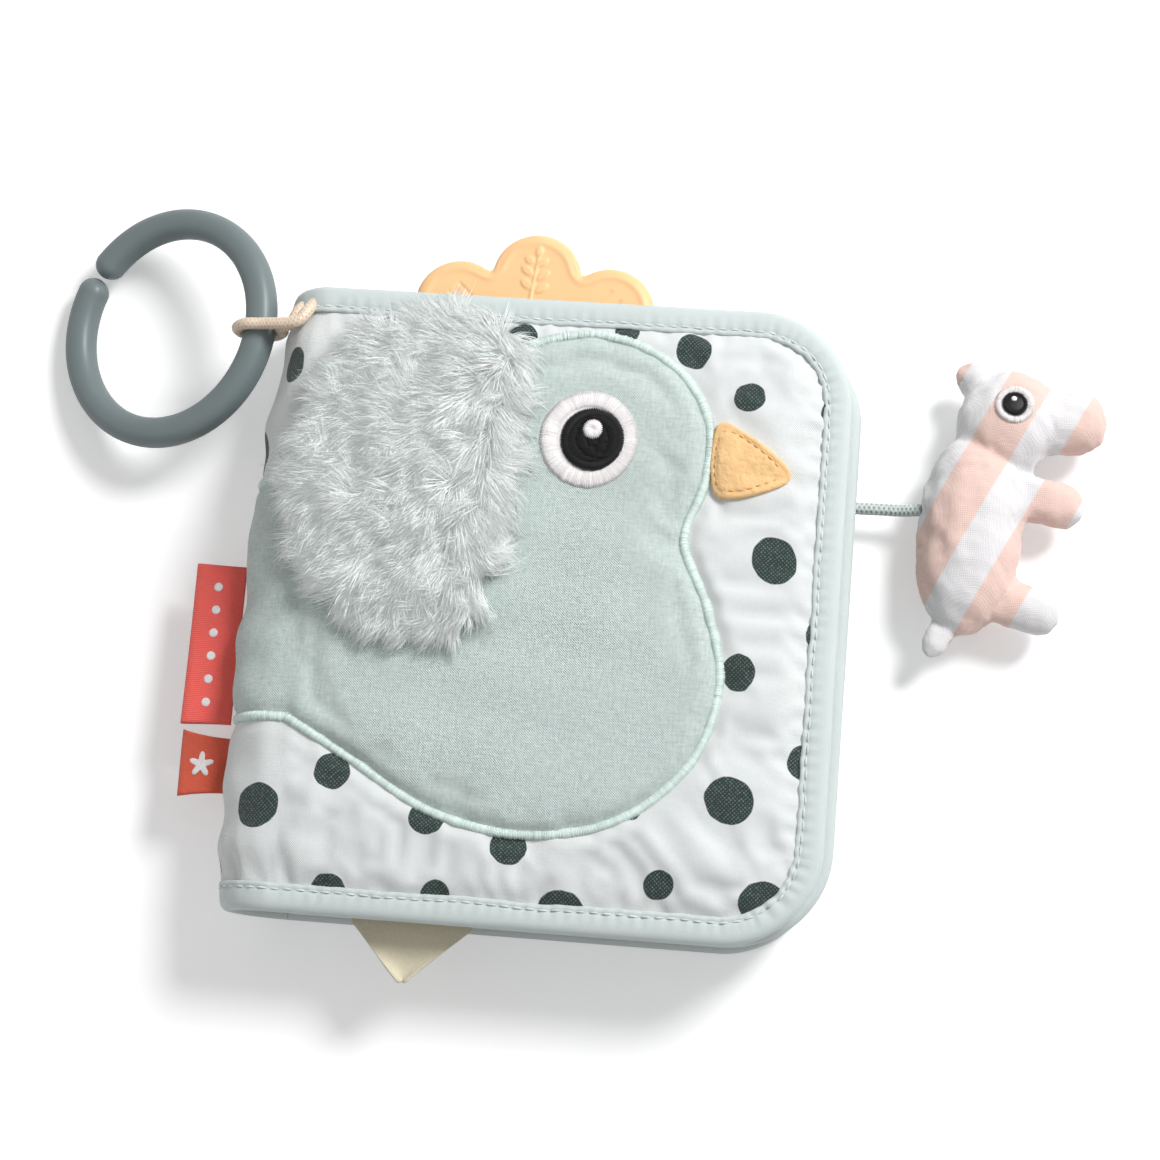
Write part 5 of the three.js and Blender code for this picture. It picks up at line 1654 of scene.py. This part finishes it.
def lobeReach(turn):  # outline of the scalloped plate, its notches softened
    step = wholeTurn / teether["lobes"]
    off = turn - step * np.round(turn / step)
    side = teether["lobeRing"] * np.sin(off)
    reach = teether["lobeRing"] * np.cos(off) + np.sqrt(np.maximum(teether["lobe"] ** 2 - side ** 2, 1))
    return softened(reach, 6, mode="wrap")


def leafSprig(x, y):  # raised stem and leaves, in the top lobe's own place
    height = 0.8 * bellAt(x - 0.12 * y, 0, 0.38) * smooth01((6.6 - np.abs(y)) / 1.2)
    for at, side, size in teether["leaves"]:
        a = math.radians(38 if side > 0 else 142)
        dx, dy = x - side * 0.3, y - at
        u, v = dx * math.cos(a) + dy * math.sin(a), -dx * math.sin(a) + dy * math.cos(a)
        half = 1.15 * np.sin(math.pi * np.clip(u / size, 0, 1)) ** 0.7
        body = smooth01((half - np.abs(v)) / 0.45) * (u > 0) * (u < size)
        vein = 0.45 * bellAt(v, 0, 0.2) * body
        height = np.maximum(height, body * 0.9 - vein)
    tip = smooth01((1.2 - np.hypot(x - 0.7, (y - 7.0) * 0.7)) / 0.5)
    return np.maximum(height, tip * 0.9)


def lobeGrooves(x, y):  # short grooves in the lobes on both sides of the sprig's
    depth = np.zeros(len(x))
    for a in (-math.pi / 4, math.pi / 4):
        lx, ly = x * math.cos(a) - y * math.sin(a), x * math.sin(a) + y * math.cos(a)
        for k in (-3.4, 0.0, 3.4):
            depth -= teether["groove"] * bellAt(lx, k, 0.42) * smooth01((3.4 - np.abs(ly - 28.5)) / 0.8)
    return depth


def cutBox(piece, low, high):
    bm = bmesh.new()
    place = Matrix.Translation((np.array(low) + high) / 2 * mm)
    size = Matrix.Diagonal((*((np.array(high) - low) * mm), 1))
    bmesh.ops.create_cube(bm, size=1.0, matrix=place @ size)
    mesh = bpy.data.meshes.new("slotCutter")
    bm.to_mesh(mesh)
    bm.free()
    cutter = addPiece("slotCutter", mesh, smooth=False)
    modified(piece, "BOOLEAN", operation="DIFFERENCE", solver="EXACT", object=cutter)
    bpy.data.objects.remove(cutter)


def teetherRings():  # from the middle of the underside round the edge to the middle of the top
    turns, edge = turnsRound(teether["around"]), teether["edge"]
    reach = lobeReach(turns)
    outline = np.stack([-reach * np.sin(turns), reach * np.cos(turns)], 1)
    insets = [*(edge * (1 - np.cos(np.linspace(0, math.pi / 2, 7)))), *np.linspace(edge + 0.35, 27, 62)]
    tops, bottoms = [], []
    for inset in np.unique(np.round(insets, 4)):
        x, y = (outline * (1 - inset / reach)[:, None]).T
        e = np.clip(1 - inset / edge, 0, 1)
        z = teether["thick"] / 2 * math.sqrt(max(1 - e ** 2.4, 0))
        near = insideOf(outline[::4], x, y) if inset < 9 else np.full(len(x), 9.0)
        lift = teether["rimHigh"] * bellAt(near, teether["rimAt"], 0.75)
        relief = teether["sprig"] * leafSprig(x - teether["sprigAt"][0], y - teether["sprigAt"][1])
        relief = (relief + lobeGrooves(x, y)) * smooth01((inset - 2.2) / 1.0)
        tops.append(np.stack([x, y, z + lift + relief], 1))
        if inset < 5 or len(bottoms) < 12:
            bottoms.append(np.stack([x, y, -z + 0 * x], 1))
    return bottoms[:0:-1] + tops


def makeTeether():
    rings, count, half = teetherRings(), teether["around"], teether["thick"] / 2
    rows, mid = len(rings), teether["low"] + half
    faces = ringFaces(rows, count) + tipFaces((rows - 1) * count, count, rows * count)
    faces += [(b, a, low) for a, b, low in tipFaces(0, count, rows * count + 1)]
    points = np.vstack([*rings, [(0, 0, half)], [(0, 0, -half)]]) + np.array([*teether["place"], mid])
    piece = outward(addPiece("teetherPlate", toMesh("teetherPlate", points, faces), paints["silicone"]))
    x0, x1 = teether["place"][0] - teether["slotHalf"], teether["place"][0] + teether["slotHalf"]
    foot, head, bar = teether["barFoot"] - 8, teether["barHead"], teether["barHalf"]
    cutBox(piece, (x0, head, mid - 9), (x1, teether["slotHead"], mid + 9))
    cutBox(piece, (x0, foot, mid + bar), (x1, head + 0.3, mid + 9))
    cutBox(piece, (x0, foot, mid - 9), (x1, head + 0.3, mid - bar))
    rideOn(piece, "teether", "silicone", "teether")


strap = {
    "x": -10.626, "wide": 12.0, "ply": 0.5, "end": 7.36, "foot": 19.36, "head": 26.74,
    "low": 22.225, "high": 26.33, "round": 1.5, "stitchHalf": 4.6, "stitchHigh": 1.06,
}


def makeStrap():  # a band round the teether's bar, its two ends sewn flat on the page
    half, ply, r = strap["wide"] / 2, strap["ply"], strap["round"]
    section = [(-half, -0.1), (-half, 0.1), (0.2 - half, ply / 2), (half - 0.2, ply / 2)]
    section += [(-sx, -h) for sx, h in section]
    y0, y1 = strap["foot"] + ply / 2, strap["head"] - ply / 2
    z0, z1 = strap["low"] + ply / 2, strap["high"] - ply / 2
    rings = []
    corners = ((y1 - r, z1 - r, 0), (y0 + r, z1 - r, 90), (y0 + r, z0 + r, 180), (y1 - r, z0 + r, 270))
    for cy, cz, start in corners:
        for a in np.radians(np.linspace(start, start + 90, 9)):
            c, s = math.cos(a), math.sin(a)
            rings.append([(strap["x"] + sx, cy + (r + h) * c, cz + (r + h) * s) for sx, h in section])
    rideOn(taped("teetherStrap", rings, closed=True), "leaf_a", "satin_tape", "teether_strap")
    tail = []
    for y in np.linspace(strap["end"], strap["foot"] + 1.2, 24):
        high = strap["low"] + ply + 0.05 * math.sin(y * 2.1) + 0.5 * smooth01((y - strap["foot"] + 1.4) / 2.6)
        tail.append([(strap["x"] + sx, y, high + h * 1.9) for sx, h in section])
    rideOn(taped("strapTail", tail), "leaf_a", "satin_tape")
    left, right = strap["x"] - strap["stitchHalf"], strap["x"] + strap["stitchHalf"]
    inner, outer = strap["end"] + 1.3, strap["foot"] - 1.6
    box = [(left, inner), (right, inner), (right, outer), (left, outer), (left, inner), (right, outer)]
    line = np.array([(*p, strap["low"] + strap["stitchHigh"]) for p in box])
    rideOn(dashesOn("strapStitches", line, 3.0, 6), "leaf_a", "satin_tape")


tab = {"x": 50.7, "y": 36.0, "halfX": 3.95, "halfY": 5.95, "low": 7.35, "ply": 0.45, "cordWidth": 1.9}


def makeTab():  # the sewn patch that holds the toy's cord
    xs = np.linspace(tab["x"] + tab["halfX"], tab["x"] - tab["halfX"], 27)
    ys = np.linspace(tab["y"] - tab["halfY"], tab["y"] + tab["halfY"], 40)
    x, y = np.meshgrid(xs, ys, indexing="ij")
    dx, dy = np.abs(x - tab["x"]) / tab["halfX"], np.abs(y - tab["y"]) / tab["halfY"]
    inside = 1 - (dx ** 6 + dy ** 6) ** (1 / 6)
    z = tab["low"] + 0.95 * smooth01(inside / 0.3) - 0.3 * bellAt(inside, 0.3, 0.08)
    z = z + 0.75 * bellAt(y, tab["y"], tab["cordWidth"]) * smooth01(inside / 0.5) + 0.06 * waves(x, y, 5, 93)
    cloth = paints["tabCloth"]
    piece = gridPiece("toyCordTab", np.stack([x, y, z], -1), inside > -0.04, tab["ply"], cloth, None, (x, y))
    rideOn(piece, "back_cover", "satin_tape", "toy_cord_tab")
    turn = turnsRound(80)
    share = 0.7 / (np.abs(np.cos(turn)) ** 6 + np.abs(np.sin(turn)) ** 6) ** (1 / 6)
    px, py = tab["x"] + tab["halfX"] * share * np.cos(turn), tab["y"] + tab["halfY"] * share * np.sin(turn)
    line = np.stack([px, py, tab["low"] + 0.67 + 0.72 * bellAt(py, tab["y"], tab["cordWidth"])], 1)
    rideOn(dashesOn("tabStitches", line, 2.6, 7, closed=True), "back_cover", "satin_tape")


gutter = {"bevel": 0.3, "uneven": 0.06, "size": 6.0, "longest": 3.0}


def makeGutter():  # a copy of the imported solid, its edges eased and its faces a little uneven
    source = bpy.data.objects["page_gutter"]
    piece = addPiece("pageGutter", source.data.copy())
    bm = bmesh.new()
    bm.from_mesh(piece.data)
    bm.transform(source.matrix_world)
    bmesh.ops.remove_doubles(bm, verts=bm.verts, dist=1e-6)
    bmesh.ops.dissolve_limit(bm, angle_limit=math.radians(4), verts=bm.verts, edges=bm.edges)
    bmesh.ops.triangulate(bm, faces=[f for f in bm.faces if len(f.verts) > 4])
    for _ in range(4):
        wide = [e for e in bm.edges if e.calc_length() > gutter["longest"] * mm]
        if not wide:
            break
        bmesh.ops.subdivide_edges(bm, edges=wide, cuts=1, use_grid_fill=True)
    bm.to_mesh(piece.data)
    bm.free()
    modified(piece, "BEVEL", width=gutter["bevel"] * mm, segments=3, limit_method="ANGLE",
             angle_limit=math.radians(40))
    co, no = placesOf(piece), normalsOf(piece)
    lift = gutter["uneven"] * (waves(co[:, 0], co[:, 1] + 3 * co[:, 2], gutter["size"], 91) - 0.8)
    setPlaces(piece, co + no * np.minimum(lift, 0)[:, None])
    paintWith(piece.data, paints["paleLining"])
    rideOn(withClothUv(piece), "back_cover", "lining", "page_gutter")


makeTeether()
makeStrap()
makeGutter()
makeTab()
print("teether, strap and gutter ready")


# Tags on the spine, and the pointed flap

tags = {
    "ribbon": {
        "node": "ribbon_tag", "slot": "coral_ribbon", "paint": "coralRibbon", "across": 50, "seed": 1.0,
        "top": 8.0, "length": 41.0, "reach": 12.9, "under": 1.7, "ply": 0.45, "open": 1.9,
        "droop": 1.6, "skew": 0.9,
    },
    "woven": {
        "node": "woven_tag", "slot": "rust_ribbon", "paint": "rustRibbon", "across": 22, "seed": 2.4,
        "top": -36.5, "length": 14.0, "reach": 12.9, "under": 0.6, "ply": 0.5, "open": 1.6,
        "droop": 2.2, "skew": 3.2,
    },
}


def tagStrip(spec):  # the folded ribbon: out from the spine, round its fold and back
    high, fold = book["frontTop"] / 2, spec["open"] / 2
    ends = np.array([spec["top"], spec["top"] - spec["length"]])
    root = archPoint(ends, spec["under"], math.pi / 2)[:, 0].min()
    tip = root - spec["reach"]
    side = [(root + 0.6, 0.3), (root - 2.5, 0.45), (root - 6.5, 0.3 + fold * 0.5),
            (tip + 3.2, fold), (tip + 1.1, fold), (tip + 0.12, fold * 0.55)]
    path = [(x, high + z) for x, z in side] + [(tip, high)] + [(x, high - z) for x, z in side[::-1]]
    x, z = np.split(smoothLine(path, 64), 2, axis=1)
    ys = np.linspace(ends[1], ends[0], spec["across"])
    s, share = (ys - ys[0]) / spec["length"], np.clip((root - x) / spec["reach"], 0, 1)
    sag = 0.35 * share * np.sin(3.1 * s + spec["seed"]) - spec["droop"] * share ** 2 * (0.7 + 0.5 * s)
    sway = 0.35 * share * np.sin(2.3 * s + spec["seed"])
    return np.stack([x + sway, ys + spec["skew"] * share ** 2 * (s - 0.4), z + sag], -1), ys


def markPiece(name, grid, ys, at, radius):  # a raised woven mark on the tag's upper side
    turns = turnsRound(60)
    outline = np.stack([at[0] + radius * np.cos(turns + 0.3), at[1] + radius * np.sin(turns + 0.3)], 1)
    upper = grid[:len(grid) // 2]
    order = np.argsort(upper[:, 0, 0])

    def place(u, y, share):
        j = np.clip(np.round(np.interp(y, ys, np.arange(len(ys)))).astype(int), 0, len(ys) - 1)
        z = np.empty(u.shape)
        for i in np.ndindex(u.shape):
            z[i] = np.interp(u[i], upper[order, j[i], 0], upper[order, j[i], 2])
        return np.stack([u, y, z + 0.16 * domed(share, 6) + 0.02], -1)
    rideOn(fanPiece(name, outline, at, place, 5, 0.1, paints["whiteThread"]), "back_cover", "white_thread")


def makeTags():
    for key, spec in tags.items():
        grid, ys = tagStrip(spec)
        piece = gridPiece(key + "Tag", grid, None, spec["ply"], paints[spec["paint"]])
        rideOn(piece, "back_cover", spec["slot"], spec["node"])
        tip = grid[:, :, 0].min()
        if key == "ribbon":
            for k in range(6):
                markPiece(f"ribbonDot{k + 1}", grid, ys, (tip + 6.6, spec["top"] - 5.6 - 6.0 * k), 1.15)
        else:
            star = 3.4 * (0.72 + 0.28 * np.cos(5 * turnsRound(60)))
            markPiece("wovenStar", grid, ys, (tip + 6.2, spec["top"] - spec["length"] / 2), star)


flap = {
    "middle": -27.707, "half": 15.0, "root": -54.0, "edge": -80.0, "tip": -94.2, "low": 22.25, "ply": 0.5,
    "curl": 1.6, "along": 60, "across": 41,
}


def makeFlap():
    v, s = np.linspace(0, 1, flap["along"])[:, None], np.linspace(-1, 1, flap["across"])
    y = flap["root"] + (flap["tip"] - flap["root"]) * v + 0 * s
    edge = (flap["edge"] - flap["root"]) / (flap["tip"] - flap["root"])
    half = np.where(v < edge, flap["half"], flap["half"] * (1 - (v - edge) / (1 - edge)) + 0.5)
    out = smooth01((v - edge * 0.95) / (1 - edge))
    bend = flap["curl"] * out * (0.9 * s * s - 0.55) + 0.35 * out * np.sin(5 * v + 2 * s)
    z = flap["low"] + 0.5 + 0.12 * np.sin(y * 0.3 + s) + bend
    grid = np.stack([flap["middle"] + s * half - 1.2 * out, y, z], -1)
    piece = gridPiece("pointedFlap", grid[:, ::-1], None, flap["ply"], paints["creamCloth"])
    rideOn(outward(piece), "leaf_a", "cream_cloth", "pointed_flap")


makeTags()
makeFlap()
bpy.data.objects.remove(dash)
print("tags and flap ready")


# Stuffed toy: one sewn skin over its rounds, with a seam round its middle

toy = {
    "place": (91.996, 36.0, 11.06), "length": 72.0, "across": 12.3, "flat": 0.82, "low": 0.35, "skin": 0.35,
    "around": 36, "along": 30, "voxel": 1.25, "steps": 12, "pressure": 3.0, "cap": 0.9,
    "rounds": [
        ((-0.02, -0.44), (0.02, 0.29), 13.7, 2.6), ((0.03, 0.17), (0.2, 0.5), 13.2, 2.4),
        ((0.2, 0.33), (0.46, 0.37), 8.8, 3.2), ((0.02, 0.1), (0.4, 0.03), 6.3, 6.0),
        ((0, -0.28), (0.33, -0.36), 6.6, 6.0), ((0.14, 0.42), (-0.08, 0.52), 5.2, 3.0),
        ((-0.03, -0.34), (-0.13, -0.53), 4.0, 4.0),
    ],
    "nodes": ["toy_" + part for part in ("body", "head", "muzzle", "front_leg", "hind_leg", "ear", "tail")],
    "eyeAt": (0.125, 0.37), "eyeRadius": 3.9,
    "thread": {"width": 0.42, "height": 0.3, "along": "y", "segments": 4, "sides": 4},
}


def onToy(share):
    x, y, _ = toy["place"]
    return np.array([x + toy["across"] + share[0] * toy["length"], y + share[1] * toy["length"]])


def plumpRound(start, end, radius, blunt):
    a, b = (np.array([*onToy(share), toy["place"][2]]) for share in (start, end))
    ahead = (b - a) / np.linalg.norm(b - a)
    side = np.array([-ahead[1], ahead[0], 0])
    p, along = turnsRound(toy["around"]), toy["along"]
    section = np.outer(np.cos(p), side) + np.outer(toy["flat"] * np.sin(p), straightUp)
    rings = []
    for i in range(along + 1):
        t = (1 - math.cos(math.pi * (0.02 + 0.96 * i / along))) / 2
        rings.append(a + (b - a) * t + section * (radius * (1 - abs(2 * t - 1) ** blunt) ** 0.5))
    return sweepPiece("toyRound", rings)


def makeToy():
    parts = [plumpRound(a, b, r - toy["skin"], blunt) for a, b, r, blunt in toy["rounds"]]
    piece = joined("toySkin", parts, paints["toyCloth"])
    modified(piece, "REMESH", mode="VOXEL", voxel_size=toy["voxel"] * mm)
    modified(piece, "SMOOTH", factor=0.5, iterations=5)
    rest = placesOf(piece)
    held = (bellAt(rest[:, 2], toy["place"][2], 0.9) > 0.75) * 0.6
    rest = puffed(piece, rest, held, toy, "toy filling")
    piece.vertex_groups.clear()
    setPlaces(piece, rest)
    modified(piece, "SUBSURF", levels=1, render_levels=1)
    co, no = placesOf(piece), normalsOf(piece)
    x, y, z = co.T
    off = z - toy["place"][2]
    run = x * 0.8 + y
    beside = bellAt(np.abs(off), 1.5, 0.9) * np.sin(wholeTurn * (run + 2 * waves(x, y, 14, 5)) / 5.2)
    lift = 0.12 * beside - 0.42 * bellAt(off, 0, 0.55)
    lift += 0.22 * waves(x + z, y, 13, 52) + 0.08 * waves(x, y - z, 5, 53)
    co = co + no * lift[:, None]
    co[:, 2] = np.maximum(co[:, 2], toy["low"])
    setPlaces(piece, co)
    rideOn(piece, "toy", "toy_cloth", *toy["nodes"])
    return co, no


def makeToyEye(co, no):
    centre, r = onToy(toy["eyeAt"]), toy["eyeRadius"]

    def terms(x, y):
        dx, dy = x - centre[0], y - centre[1]
        return np.stack([np.ones_like(dx), dx, dy, dx ** 2, dy ** 2, dx * dy], -1)
    upper = co[(no[:, 2] > 0.2) & (np.hypot(*(co[:, :2] - centre).T) < 9)]
    fit, *_ = np.linalg.lstsq(terms(upper[:, 0], upper[:, 1]), upper[:, 2], rcond=None)

    def disc(name, at, radius, lift, paint, slot, *nodes):
        def place(u, y, share):
            return np.stack([u, y, terms(u, y) @ fit + lift * domed(share, 5) - 0.15 * share ** 4], -1)
        piece = fanPiece(name, circle(at, radius, 80), at, place, 7, 0.2, paints[paint])
        rideOn(piece, "toy", slot, *nodes)

    def threadRing(name, radius, across, lift, paint, slot):
        line = circle(centre, radius, 90)
        line = np.column_stack([line, terms(line[:, 0], line[:, 1]) @ fit + lift])
        thread = {"length": across, **toy["thread"]}
        rideOn(threadAlong(name, [line], [straightUp], thread, 0.36, paints[paint], 0.08, 9), "toy", slot)
    pale, dark = ("whiteThread", "white_thread"), ("blackThread", "charcoal_thread")
    disc("toyEyeWhite", centre, r + 0.9, 0.3, *pale, "toy_eye")
    threadRing("toyEyeWhiteThread", r + 0.2, 1.9, 0.26, *pale)
    disc("toyEyeBlack", centre, r - 0.7, 0.75, *dark)
    threadRing("toyEyeBlackThread", r - 1.3, 1.5, 0.62, *dark)
    disc("toyEyeGlint", centre + np.array([-0.35, 1.2]), 0.85, 1.2, *pale)


makeToyEye(*makeToy())
print("toy ready")


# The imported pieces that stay, hidden between the plies

for node in ("leaf_a_wadding", "leaf_b_wadding", "back_cover_wadding"):
    paintWith(bpy.data.objects[node].data, paints["wadding"])
